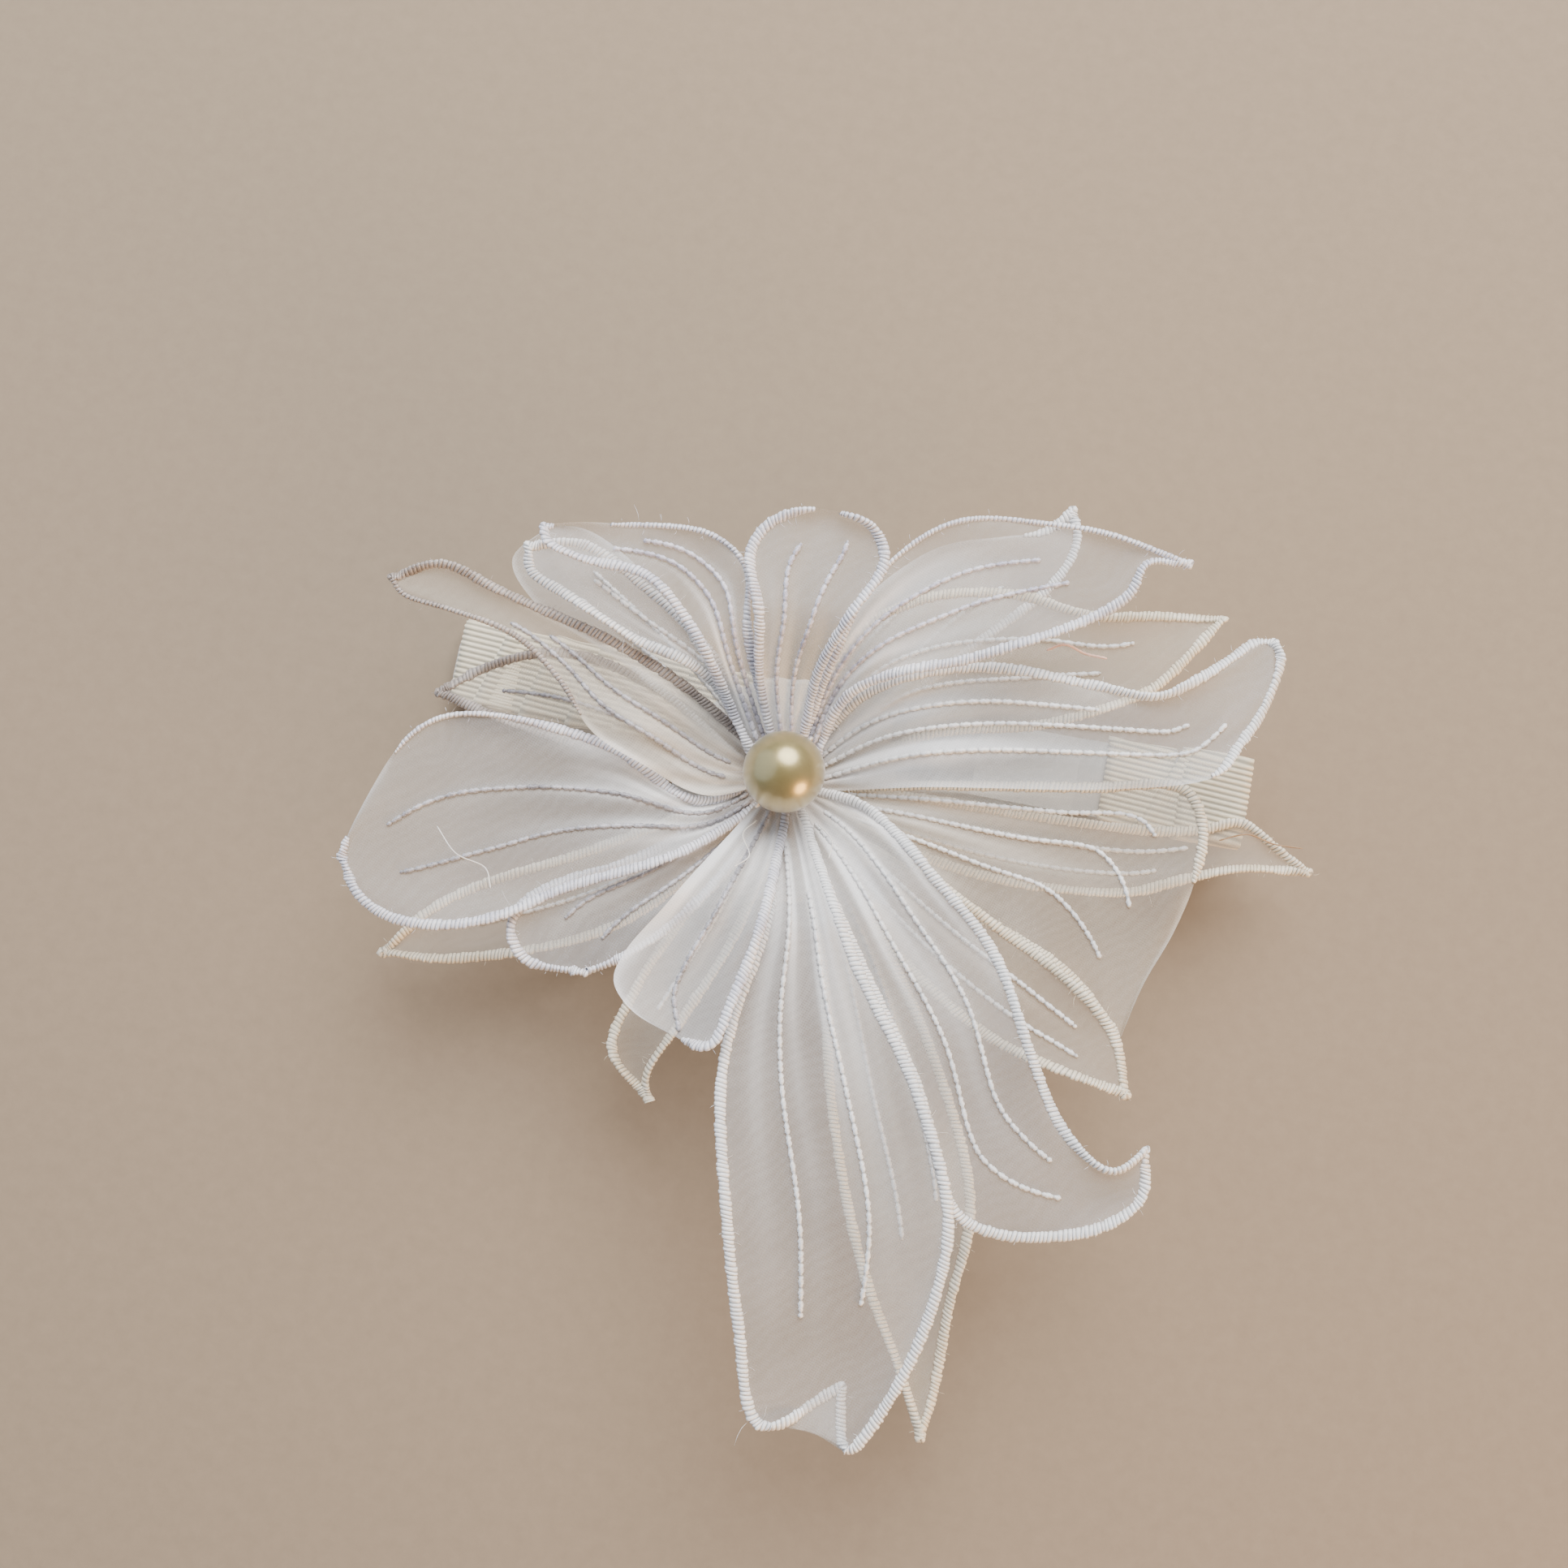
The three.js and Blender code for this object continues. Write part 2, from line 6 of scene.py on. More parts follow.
import bmesh
import bpy
import numpy as np
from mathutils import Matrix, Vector


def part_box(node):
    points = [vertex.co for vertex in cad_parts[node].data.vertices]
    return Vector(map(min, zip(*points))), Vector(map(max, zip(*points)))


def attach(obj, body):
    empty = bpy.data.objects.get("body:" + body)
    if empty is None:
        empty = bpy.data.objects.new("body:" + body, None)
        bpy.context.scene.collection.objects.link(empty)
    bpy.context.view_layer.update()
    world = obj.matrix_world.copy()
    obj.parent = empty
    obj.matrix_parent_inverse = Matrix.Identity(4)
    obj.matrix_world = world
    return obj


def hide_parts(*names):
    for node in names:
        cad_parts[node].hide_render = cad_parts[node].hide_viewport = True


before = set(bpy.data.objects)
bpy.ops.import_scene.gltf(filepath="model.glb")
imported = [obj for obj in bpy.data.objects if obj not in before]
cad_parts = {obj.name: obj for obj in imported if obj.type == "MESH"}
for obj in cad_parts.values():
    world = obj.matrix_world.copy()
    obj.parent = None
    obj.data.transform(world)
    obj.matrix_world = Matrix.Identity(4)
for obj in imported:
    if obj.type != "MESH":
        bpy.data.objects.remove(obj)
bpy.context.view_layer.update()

MM = 0.001
UP = np.array([0.0, 0.0, 1.0])
CLIP_BODY = "lower_jaw"
FLOWER_BODY = "upper_jaw"


def node_box(name):
    """A CAD node's lowest and highest corners in millimetres."""
    low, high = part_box(name)
    return np.array(low) / MM, np.array(high) / MM


# ---- Places taken from the frame ----
PEARL_LOW, PEARL_HIGH = node_box("pearl_bead")
PEARL = (PEARL_LOW + PEARL_HIGH) / 2
PEARL_RADIUS = (PEARL_HIGH - PEARL_LOW)[2] / 2
CORE_LOW, CORE_HIGH = node_box("gather_core")
FELT_LOW, FELT_HIGH = node_box("felt_base")
AXIS = np.array([PEARL[0], PEARL[1], 0.0])

# ---- Flower ----
FLOWER_TURN = math.radians(11)  # from the clip's axis to the petals' own x direction
PETAL_START = 2.9
PETAL_ROOT = 4.0
PETAL_BOTTOM = FELT_HIGH[2] + 0.4
PETAL_RISE = 0.1
BASE_PITCH, OPEN_PITCH, OUTER_PITCH = 0.6, 1.25, 0.8  # height between petals, outwards
ROWS, COLUMNS = 72, 30  # mesh of one petal
PLEATS = 26  # creases round the gather, shared by every petal so that they nest
PLEAT_DEPTH = 0.4

EDGE_WIDTH = 0.8  # half width of a satin-stitched edge
EDGE_HEIGHT = 0.5
EDGE_INSET = 0.25  # from the cloth's edge to the middle of its stitching
STITCH = 0.6  # one satin stitch along an edge
VEIN_RADIUS = 0.36
VEIN_STITCH = 1.7

# ---- Bead and thread sizes ----
HOLE_TURN = math.radians(62)  # from +X to the bead's hole
HOLE_RADIUS = 0.6
BEAD_THREAD = 0.2
BINDING_RADIUS = 0.27
BINDING_TURNS = 2.6

# ---- Ribbon sizes ----
RIB = 0.9  # one rib of the grosgrain
RIB_DEPTH = 0.2
RIB_LEAN = 0.2  # share of the winding's slope that the ribs follow
RIB_ROWS = 5  # rows of points over one rib
RIBBON_WIDTH = 10.0
RIBBON_THICK = 0.36
TURN_PITCH = 8.0
TURN_LAP = 0.5  # how far a turn rises where it laps the last one

# ---- Petals' plans ----
# Plan of each petal in the flower's own axes, from the gather: points along its left and right
# edges as seen from the gather, and its tip. veins are places across the petal, from right 0 to
# left 1, with the shares of the length where each starts to show and ends. plain and thin are
# shares of an edge, as (side, start, end): plain is a bare fold of the cloth without stitching,
# with a painted fold highlight, and thin is where the stitching narrows. curl lifts the tip. fold
# is how far the part beyond fold_at lies above the rest, or below it if negative. doubled cloth is
# denser. tone is the cloth and thread, white unless it is given; the other tones paint light and
# shade into the colour: warm bounce light as ivory, cool shade as lavender grey, shade as dark
# grey.
PETALS = [
    {"name": "lower_1", "tone": "ivory", "tip": (80, -14),
     "left": [(30, -3), (55, -7), (64, -7), (70, -6), (75, -10)],
     "right": [(30, -14), (52, -17), (61, -15), (69, -13.5)],
     "veins": [(0.35, 0.1, 0.7), (0.65, 0.1, 0.75)]},
    {"name": "lower_2", "tone": "ivory", "tip": (-61, -26),
     "left": [(-26, -22), (-50, -27)],
     "right": [(-30, -10), (-52, -18)],
     "veins": [(0.5, 0.1, 0.75)]},
    {"name": "lower_3", "tip": (45.2, 43), "plain": [("left", 0.0, 0.85)],
     "left": [(10, 26), (22, 36), (34, 38.5), (41, 39.7)],
     "right": [(28, 20), (43, 32), (45.8, 38)],
     "veins": [(0.35, 0.1, 0.7), (0.7, 0.1, 0.6)]},
    {"name": "lower_4", "tone": "ivory", "tip": (19.5, -95.5),
     "left": [(12, -18), (22, -40), (27.5, -62), (24, -77), (21.5, -90)],
     "right": [(5, -24), (7, -50), (11, -71), (16.5, -86)],
     "veins": [(0.4, 0.1, 0.7), (0.7, 0.1, 0.65)]},
    {"name": "lower_5", "tone": "shade", "tip": (-53, 13.5),
     "left": [(-30, 5), (-45, 10)],
     "right": [(-20, 15), (-33, 20), (-46, 17.5)],
     "veins": [(0.5, 0.1, 0.8)]},
    {"name": "lower_6", "tone": "ivory", "tip": (67, 24.5),
     "left": [(10, 22), (20, 28), (34.5, 29), (47, 25), (57, 25)],
     "right": [(22, 7), (41, 8.5), (55, 13), (59, 16)],
     "veins": [(0.35, 0.1, 0.7), (0.62, 0.1, 0.8)]},
    {"name": "lower_7", "tone": "ivory", "tip": (-19.5, -48),
     "left": [(-8, -25), (-15, -36), (-20, -44)],
     "right": [(-15, -20), (-22, -31), (-25.5, -40)],
     "veins": [(0.5, 0.1, 0.7)]},
    {"name": "middle_1", "tip": (-36, 38.5), "plain": [("left", 0.45, 1.0), ("right", 0.5, 1.0)],
     "left": [(-22, 16), (-38, 27), (-41, 33)],
     "right": [(-12, 20), (-24, 34), (-30, 38)],
     "veins": [(0.35, 0.1, 0.75), (0.65, 0.1, 0.7)]},
    {"name": "middle_2", "tone": "ivory", "tip": (48.5, -38.5),
     "left": [(28, -1), (46, -1.5), (59, -2), (61.5, -8), (60, -16), (57, -23), (52, -31)],
     "right": [(14, -11), (28, -20.5), (41, -29)],
     "plain": [("left", 0.74, 1.0)],
     "veins": [(0.3, 0.05, 0.8), (0.55, 0.05, 0.72), (0.78, 0.06, 0.62)]},
    {"name": "middle_3", "tone": "silver", "tip": (-29, -29),
     "left": [(-14, -20), (-23, -26.5)],
     "right": [(-22, -12), (-36, -17), (-40, -22), (-38, -27)],
     "veins": [(0.35, 0.15, 0.7), (0.65, 0.15, 0.75)]},
    {"name": "middle_4", "tone": "ivory", "tip": (49, -46.5),
     "left": [(27, -19), (40, -29), (47.5, -38)],
     "right": [(16, -26), (29, -38), (37, -42)],
     "veins": [(0.35, 0.1, 0.85), (0.65, 0.1, 0.8)]},
    {"name": "middle_5", "tone": "silver", "tip": (-64, -12.5),
     "left": [(-15, -11.4), (-32, -17), (-41, -21), (-48.5, -22.4), (-56.5, -21.3),
              (-61.5, -17.9)],
     "right": [(-13, -3), (-26, 4.6), (-42, 8.7), (-49.5, 8.5), (-54, 6.2), (-57.5, 2),
               (-63, -9)],
     "plain": [("right", 0.79, 0.95)], "thin": [("right", 0.5, 0.8)],
     "veins": [(0.36, 0.04, 0.82), (0.66, 0.04, 0.8)]},
    {"name": "middle_6", "tip": (71.8, 19.2),
     "left": [(11, 12), (19, 15), (29, 16), (45.5, 13), (54, 11), (60, 13.5), (65.5, 17),
              (69, 19.3)],
     "right": [(27, -2), (46, -2.5), (62, -1), (66, 3.5), (69.5, 8), (72, 13.5), (72.7, 16.9)],
     "plain": [("right", 0.0, 0.7)],
     "veins": [(0.3, 0.04, 0.8), (0.55, 0.04, 0.75), (0.75, 0.05, 0.6)]},
    {"name": "middle_7", "tone": "shade", "tip": (-57.5, 28.5),
     "plain": [("left", 0.0, 0.45)], "thin": [("left", 0.4, 1.0)],
     "left": [(-12, -2.5), (-20, 1), (-28, 6), (-33, 13.5), (-39, 19.5), (-49, 23.5), (-56, 26)],
     "right": [(-14, 13), (-25, 19.5), (-42, 27), (-50, 30.5)],
     "veins": [(0.45, 0.1, 0.6), (0.7, 0.1, 0.7)]},
    {"name": "upper_1", "tip": (50, -53), "curl": 2.5,
     "left": [(12, -4), (22, -15.5), (30, -26), (34.5, -40), (39.5, -51.5), (45, -56)],
     "right": [(10.5, -27), (18.5, -45), (23.5, -62), (29, -65), (36, -65.5), (44, -64),
               (49.5, -60)],
     "veins": [(0.35, 0.06, 0.8), (0.62, 0.06, 0.78)]},
    {"name": "upper_2", "tip": (-37.5, 33),
     "left": [(-10.5, 13.5), (-22.5, 19.5), (-32, 25.5), (-37, 29)],
     "right": [(-10, 17), (-20, 27), (-29, 33)],
     "veins": [(0.5, 0.1, 0.75)]},
    {"name": "upper_3", "tone": "violet", "tip": (58.5, 29), "curl": 1.0,
     "thin": [("left", 0.3, 1.0)],
     "left": [(7, 17), (13, 28), (21, 34.5), (28, 36.5), (39.5, 35.5), (49, 33)],
     "right": [(9.5, 11.5), (27.5, 16), (39.5, 19.5), (49.5, 24.5), (52, 29)],
     "veins": [(0.4, 0.05, 0.72), (0.66, 0.05, 0.68)]},
    {"name": "upper_4", "tip": (8, -85), "fold_at": 0.93, "fold": -1.2,
     "left": [(10, -27), (18, -44), (22.5, -61), (21.5, -70), (16, -84), (8.6, -94)],
     "right": [(-2.5, -21), (-7.5, -36), (-9, -45), (-8, -62), (-6.5, -76), (-3.5, -90)],
     "veins": [(0.33, 0.05, 0.72), (0.64, 0.14, 0.7)]},
    {"name": "upper_5", "tone": "violet", "tip": (-34.5, 34.5), "curl": 1.0,
     "plain": [("right", 0.84, 0.96)], "thin": [("right", 0.35, 0.84)],
     "left": [(-14, 21), (-20, 27.5), (-30, 30), (-34, 32)],
     "right": [(-5, 19.5), (-5.5, 29.5), (-10, 33.5), (-17, 35), (-26, 35)],
     "veins": [(0.36, 0.06, 0.72), (0.62, 0.06, 0.78)]},
    {"name": "upper_6", "tone": "silver", "tip": (-14.5, -38), "doubled": 0.22,
     "plain": [("right", 0.0, 1.0)],
     "left": [(-3, -22.5), (-7, -33), (-10, -39)],
     "right": [(-16, -19), (-22, -26), (-23.5, -30), (-21, -34)],
     "veins": [(0.5, 0.05, 0.88)]},
    {"name": "upper_7", "tone": "violet", "tip": (8, 35.8), "curl": 1.5,
     "plain": [("left", 0.93, 1.0)],
     "left": [(-3.8, 14), (-3.8, 22), (-5, 30.5), (-2.5, 34.5), (3, 36.3)],
     "right": [(5, 14), (9, 20.5), (14.5, 29), (13, 33.5)],
     "veins": [(0.36, 0.06, 0.78), (0.66, 0.06, 0.72)]},
]


# ---- Small maths ----
def unit(v):
    return v / max(np.linalg.norm(v), 1e-9)


def smooth(value, low, high):
    t = np.clip((value - low) / (high - low), 0, 1)
    return t * t * (3 - 2 * t)


def resample(points, count):
    """count + 1 points evenly spaced along a polyline."""
    points = np.array(points, float)
    steps = np.linalg.norm(np.diff(points, axis=0), axis=1)
    along = np.concatenate([[0], np.cumsum(steps)])
    at = np.linspace(0, along[-1], count + 1)
    return np.stack([np.interp(at, along, points[:, k]) for k in range(points.shape[1])], axis=1)


def curve_through(points, count):
    """A centripetal Catmull-Rom curve through the points, as count + 1 even points."""
    p = np.array(points, float)
    p = np.vstack([2 * p[0] - p[1], p, 2 * p[-1] - p[-2]])
    fine = []
    for a, b, c, d in zip(p, p[1:], p[2:], p[3:]):
        ta = 0.0
        tb = ta + np.linalg.norm(b - a) ** 0.5
        tc = tb + np.linalg.norm(c - b) ** 0.5
        td = tc + np.linalg.norm(d - c) ** 0.5
        for t in np.linspace(tb, tc, 24, endpoint=False):
            ab = ((tb - t) * a + (t - ta) * b) / (tb - ta)
            bc = ((tc - t) * b + (t - tb) * c) / (tc - tb)
            cd = ((td - t) * c + (t - tc) * d) / (td - tc)
            low = ((tc - t) * ab + (t - ta) * bc) / (tc - ta)
            high = ((td - t) * bc + (t - tb) * cd) / (td - tb)
            fine.append(((tc - t) * low + (t - tb) * high) / (tc - tb))
    fine.append(p[-2])
    return resample(fine, count)


def to_world(x, y, z):
    """A point of the flower's own axes in the row frame."""
    c, s = math.cos(FLOWER_TURN), math.sin(FLOWER_TURN)
    return AXIS + np.array([x * c - y * s, x * s + y * c, z])


# ---- Meshes ----
def make_object(name, shape, material, rides_on):
    mesh = bpy.data.meshes.new(name)
    mesh.from_pydata([tuple(float(c) * MM for c in p) for p in shape.points], [], shape.faces)
    detail = mesh.attributes.new("detail", "FLOAT", "POINT")
    detail.data.foreach_set("value", shape.detail)
    whole = bmesh.new()
    whole.from_mesh(mesh)
    bmesh.ops.recalc_face_normals(whole, faces=whole.faces)
    whole.to_mesh(mesh)
    whole.free()
    mesh.materials.append(material)
    mesh.polygons.foreach_set("use_smooth", [True] * len(mesh.polygons))
    mesh.update()
    obj = bpy.data.objects.new(name, mesh)
    bpy.context.scene.collection.objects.link(obj)
    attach(obj, rides_on)
    return obj


class Shape:
    """Points and faces that are gathered into one mesh.

    Each point has a detail from 0 to 1 that the materials read: how dense a cloth is there, with
    painted sheen streaks, or how far a point of thread or ribbon stands above the gap beside it,
    which thread and ribbon turn into painted shade in that gap."""

    def __init__(self):
        self.points = []
        self.faces = []
        self.detail = []

    def loft(self, rings, closed=False, caps=True, detail=None):
        """Quads between rings of equal length. closed joins the last ring to the first."""
        start, size = len(self.points), len(rings[0])
        for i, ring in enumerate(rings):
            self.points.extend(ring)
            self.detail.extend([1.0 if detail is None else float(detail[i])] * size)
        spans = len(rings) if closed else len(rings) - 1
        for i in range(spans):
            a = start + i * size
            b = start + ((i + 1) % len(rings)) * size
            for j in range(size):
                k = (j + 1) % size
                self.faces.append((a + j, a + k, b + k, b + j))
        if caps and not closed:
            self.faces.append(tuple(range(start + size - 1, start - 1, -1)))
            last = start + (len(rings) - 1) * size
            self.faces.append(tuple(range(last, last + size)))

    def grid(self, rows, detail):
        """A sheet of quads from rows of equal length."""
        start, size = len(self.points), len(rows[0])
        for row, dense in zip(rows, detail):
            self.points.extend(row)
            self.detail.extend(float(d) for d in dense)
        for i in range(len(rows) - 1):
            for j in range(size - 1):
                a = start + i * size + j
                self.faces.append((a, a + 1, a + 1 + size, a + size))

    def thread(self, path, radius, sides=6, twist=0.0, pulse=0.0, pitch=1.0):
        """A round thread along a path. pulse pinches it once per pitch, with painted shade in each
        pinch; twist winds two plies.
        """
        path = np.array(path, float)
        steps = np.linalg.norm(np.diff(path, axis=0), axis=1)
        along = np.concatenate([[0], np.cumsum(steps)])
        rings, detail = [], []
        side = None
        for i, point in enumerate(path):
            tangent = unit(path[min(i + 1, len(path) - 1)] - path[max(i - 1, 0)])
            base = side if side is not None else np.cross(tangent, UP + 0.01)
            side = unit(base - tangent * base.dot(tangent))
            up = np.cross(tangent, side)
            phase = 2 * math.pi * along[i] / pitch
            pinch = pulse * math.cos(phase / 2) ** 12
            thick = radius * (1 - pinch)
            if i in (0, len(path) - 1):
                thick *= 0.45
            # painted shade: a low detail darkens the thread where it is pinched between stitches
            detail.append(1 - 1.6 * pinch)
            ring = []
            for j in range(sides):
                angle = 2 * math.pi * j / sides
                ply = 1 + twist * math.cos(2 * angle - 2.2 * phase)
                ring.append(point + thick * ply * (math.cos(angle) * side + math.sin(angle) * up))
            rings.append(ring)
        self.loft(rings, detail=detail)


# ---- Materials ----
def new_material(name):
    material = bpy.data.materials.new(name)
    material.use_nodes = True
    nodes, links = material.node_tree.nodes, material.node_tree.links
    shader = nodes["Principled BSDF"]
    return material, nodes, links, shader


def texture(nodes, links, kind, scale, coords="Object", stretch=(1, 1, 1), turn=0.0, **inputs):
    place = nodes.new("ShaderNodeTexCoord")
    mapping = nodes.new("ShaderNodeMapping")
    mapping.inputs["Scale"].default_value = stretch
    mapping.inputs["Rotation"].default_value = (0, 0, turn)
    node = nodes.new(kind)
    links.new(place.outputs[coords], mapping.inputs["Vector"])
    links.new(mapping.outputs["Vector"], node.inputs["Vector"])
    node.inputs["Scale"].default_value = scale
    for key, value in inputs.items():
        node.inputs[key.replace("_", " ")].default_value = value
    return node


def ramp(nodes, links, source, low, high, start=0.0, end=1.0):
    node = nodes.new("ShaderNodeMapRange")
    node.inputs["From Min"].default_value = start
    node.inputs["From Max"].default_value = end
    node.inputs["To Min"].default_value = low
    node.inputs["To Max"].default_value = high
    links.new(source, node.inputs["Value"])
    return node.outputs["Result"]


def colours(nodes, links, source, first, second, start=0.3, end=0.7):
    node = nodes.new("ShaderNodeValToRGB")
    node.color_ramp.elements[0].position = start
    node.color_ramp.elements[1].position = end
    node.color_ramp.elements[0].color = (*first, 1)
    node.color_ramp.elements[1].color = (*second, 1)
    links.new(source, node.inputs["Fac"])
    return node.outputs["Color"]


def bump(nodes, links, source, distance, strength=1.0, under=None):
    node = nodes.new("ShaderNodeBump")
    node.inputs["Strength"].default_value = strength
    node.inputs["Distance"].default_value = distance * MM
    links.new(source, node.inputs["Height"])
    if under is not None:
        links.new(under, node.inputs["Normal"])
    return node.outputs["Normal"]


def math_node(nodes, links, operation, a, b):
    node = nodes.new("ShaderNodeMath")
    node.operation = operation
    for socket, value in zip(node.inputs, (a, b)):
        if isinstance(value, (int, float)):
            socket.default_value = value
        else:
            links.new(value, socket)
    return node.outputs[0]


def detail_of(nodes):
    """The detail value that Shape keeps for each point, which carries painted sheen on cloth and
    painted shade in the gaps of thread and ribbon.
    """
    node = nodes.new("ShaderNodeAttribute")
    node.attribute_name = "detail"
    return node.outputs["Fac"]


def painted_gap_shade(nodes, links, colour, detail, darkest):
    """colour, darker where the detail is low: painted shade in the gaps between stitches and ribs.
    """
    node = nodes.new("ShaderNodeMix")
    node.data_type = "RGBA"
    node.blend_type = "MULTIPLY"
    node.inputs["Factor"].default_value = 1.0
    links.new(colour, node.inputs["A"])
    links.new(colours(nodes, links, detail, (darkest,) * 3, (1.0,) * 3, 0.05, 0.75),
              node.inputs["B"])
    return node.outputs["Result"]


def stained(nodes, links, colour, reach):
    """colour, turning tan within reach of the flower's axis, where glue has soaked the gather."""
    place = nodes.new("ShaderNodeTexCoord")
    away = nodes.new("ShaderNodeVectorMath")
    away.operation = "SUBTRACT"
    away.inputs[1].default_value = tuple(AXIS * MM)
    links.new(place.outputs["Object"], away.inputs[0])
    flat = nodes.new("ShaderNodeVectorMath")
    flat.operation = "MULTIPLY"
    flat.inputs[1].default_value = (1, 1, 0)
    links.new(away.outputs["Vector"], flat.inputs[0])
    far = nodes.new("ShaderNodeVectorMath")
    far.operation = "LENGTH"
    links.new(flat.outputs["Vector"], far.inputs[0])
    mix = nodes.new("ShaderNodeMix")
    mix.data_type = "RGBA"
    mix.inputs["A"].default_value = (0.42, 0.31, 0.20, 1)
    links.new(ramp(nodes, links, far.outputs["Value"], 0.25, 1.0, 3.5 * MM, reach * MM),
              mix.inputs["Factor"])
    links.new(colour, mix.inputs["B"])
    return mix.outputs["Result"]


def organza_material(name, low, high, dense_and_sheen_tone):
    """Sheer cloth from low to high in tone, and milky where its layers gather and where its streaks
    and bare folds carry a painted sheen highlight.
    """
    material, nodes, links, shader = new_material(name)
    weave = [
        texture(nodes, links, "ShaderNodeTexWave", 900, turn=turn, Distortion=1.5,
                Detail=1.0, Detail_Scale=0.6)
        for turn in (0.35, 0.35 + math.pi / 2)
    ]
    cloudy = texture(nodes, links, "ShaderNodeTexNoise", 60, Detail=4.0)
    grain = texture(nodes, links, "ShaderNodeTexNoise", 2600, Detail=2.0)
    threads = math_node(nodes, links, "MAXIMUM", weave[0].outputs["Fac"], weave[1].outputs["Fac"])
    dense = detail_of(nodes)
    body = math_node(nodes, links, "ADD", ramp(nodes, links, threads, 0.0, 0.12),
                     ramp(nodes, links, cloudy.outputs["Fac"], 0.12, 0.24))
    body = math_node(nodes, links, "ADD", body, ramp(nodes, links, dense, 0.0, 0.75))
    watered = texture(nodes, links, "ShaderNodeTexWave", 200, turn=0.8, Distortion=22.0,
                      Detail=2.0, Detail_Scale=0.35)
    body = math_node(nodes, links, "ADD", body,
                     ramp(nodes, links, watered.outputs["Fac"], -0.015, 0.02))
    alpha = math_node(nodes, links, "ADD", body,
                      ramp(nodes, links, grain.outputs["Fac"], -0.05, 0.09))
    links.new(alpha, shader.inputs["Alpha"])
    # milkier where the cloth is denser, which also paints the sheen highlights of its streaks and
    # bare folds
    gathered = nodes.new("ShaderNodeMix")
    gathered.data_type = "RGBA"
    gathered.inputs["B"].default_value = (*dense_and_sheen_tone, 1)
    links.new(colours(nodes, links, cloudy.outputs["Fac"], low, high), gathered.inputs["A"])
    links.new(ramp(nodes, links, dense, 0.0, 1.0, 0.1, 0.6), gathered.inputs["Factor"])
    tone = gathered.outputs["Result"]
    links.new(stained(nodes, links, tone, 10.0), shader.inputs["Base Color"])
    creased = bump(nodes, links, cloudy.outputs["Fac"], 0.5, 0.7)
    links.new(bump(nodes, links, threads, 0.03, 0.6, creased), shader.inputs["Normal"])
    links.new(ramp(nodes, links, grain.outputs["Fac"], 0.42, 0.6), shader.inputs["Roughness"])
    shader.inputs["Sheen Weight"].default_value = 0.35
    shader.inputs["Sheen Roughness"].default_value = 0.4
    shader.inputs["Specular IOR Level"].default_value = 0.35
    return material


def thread_material(name, low, high, roughness=0.32):
    material, nodes, links, shader = new_material(name)
    fibres = texture(nodes, links, "ShaderNodeTexNoise", 5200, Detail=3.0)
    patches = texture(nodes, links, "ShaderNodeTexNoise", 220, Detail=3.0)
    both = math_node(nodes, links, "ADD",
                     math_node(nodes, links, "MULTIPLY", fibres.outputs["Fac"], 0.45),
                     math_node(nodes, links, "MULTIPLY", patches.outputs["Fac"], 0.55))
    tone = colours(nodes, links, both, low, high, 0.36, 0.6)
    # painted shade in the gaps between stitches and in the pinches of veins
    tone = painted_gap_shade(nodes, links, tone, detail_of(nodes), 0.22)
    links.new(stained(nodes, links, tone, 8.0), shader.inputs["Base Color"])
    links.new(ramp(nodes, links, fibres.outputs["Fac"], roughness - 0.08, roughness + 0.16),
              shader.inputs["Roughness"])
    links.new(bump(nodes, links, fibres.outputs["Fac"], 0.05, 0.8), shader.inputs["Normal"])
    shader.inputs["Sheen Weight"].default_value = 0.25
    shader.inputs["Specular IOR Level"].default_value = 0.6
    return material


def pearl_material():
    material, nodes, links, shader = new_material("pearl")
    cloudy = texture(nodes, links, "ShaderNodeTexNoise", 180, Detail=5.0, Roughness=0.6)
    specks = texture(nodes, links, "ShaderNodeTexNoise", 2400, Detail=2.0)
    tone = colours(nodes, links, cloudy.outputs["Fac"], (0.30, 0.245, 0.095), (0.40, 0.33, 0.15))
    links.new(tone, shader.inputs["Base Color"])
    links.new(ramp(nodes, links, specks.outputs["Fac"], 0.26, 0.36), shader.inputs["Roughness"])
    links.new(bump(nodes, links, specks.outputs["Fac"], 0.01, 0.4), shader.inputs["Normal"])
    shader.inputs["Metallic"].default_value = 0.6
    shader.inputs["Coat Weight"].default_value = 0.7
    shader.inputs["Coat Roughness"].default_value = 0.18
    shader.inputs["Coat IOR"].default_value = 1.55
    shader.inputs["Sheen Weight"].default_value = 0.2
    return material


def ribbon_material():
    material, nodes, links, shader = new_material("grosgrain")
    yarn = texture(nodes, links, "ShaderNodeTexNoise", 3800, stretch=(0.25, 1, 1), Detail=3.0)
    patches = texture(nodes, links, "ShaderNodeTexNoise", 130, Detail=2.0)
    both = math_node(nodes, links, "ADD",
                     math_node(nodes, links, "MULTIPLY", yarn.outputs["Fac"], 0.6),
                     math_node(nodes, links, "MULTIPLY", patches.outputs["Fac"], 0.4))
    tone = colours(nodes, links, both, (0.82, 0.71, 0.50), (0.95, 0.87, 0.69))
    # painted shade in the grooves between the ribs
    links.new(painted_gap_shade(nodes, links, tone, detail_of(nodes), 0.35), shader.inputs["Base Color"])
    links.new(ramp(nodes, links, yarn.outputs["Fac"], 0.55, 0.8), shader.inputs["Roughness"])
    links.new(bump(nodes, links, yarn.outputs["Fac"], 0.08, 0.9), shader.inputs["Normal"])
    shader.inputs["Sheen Weight"].default_value = 0.4
    return material


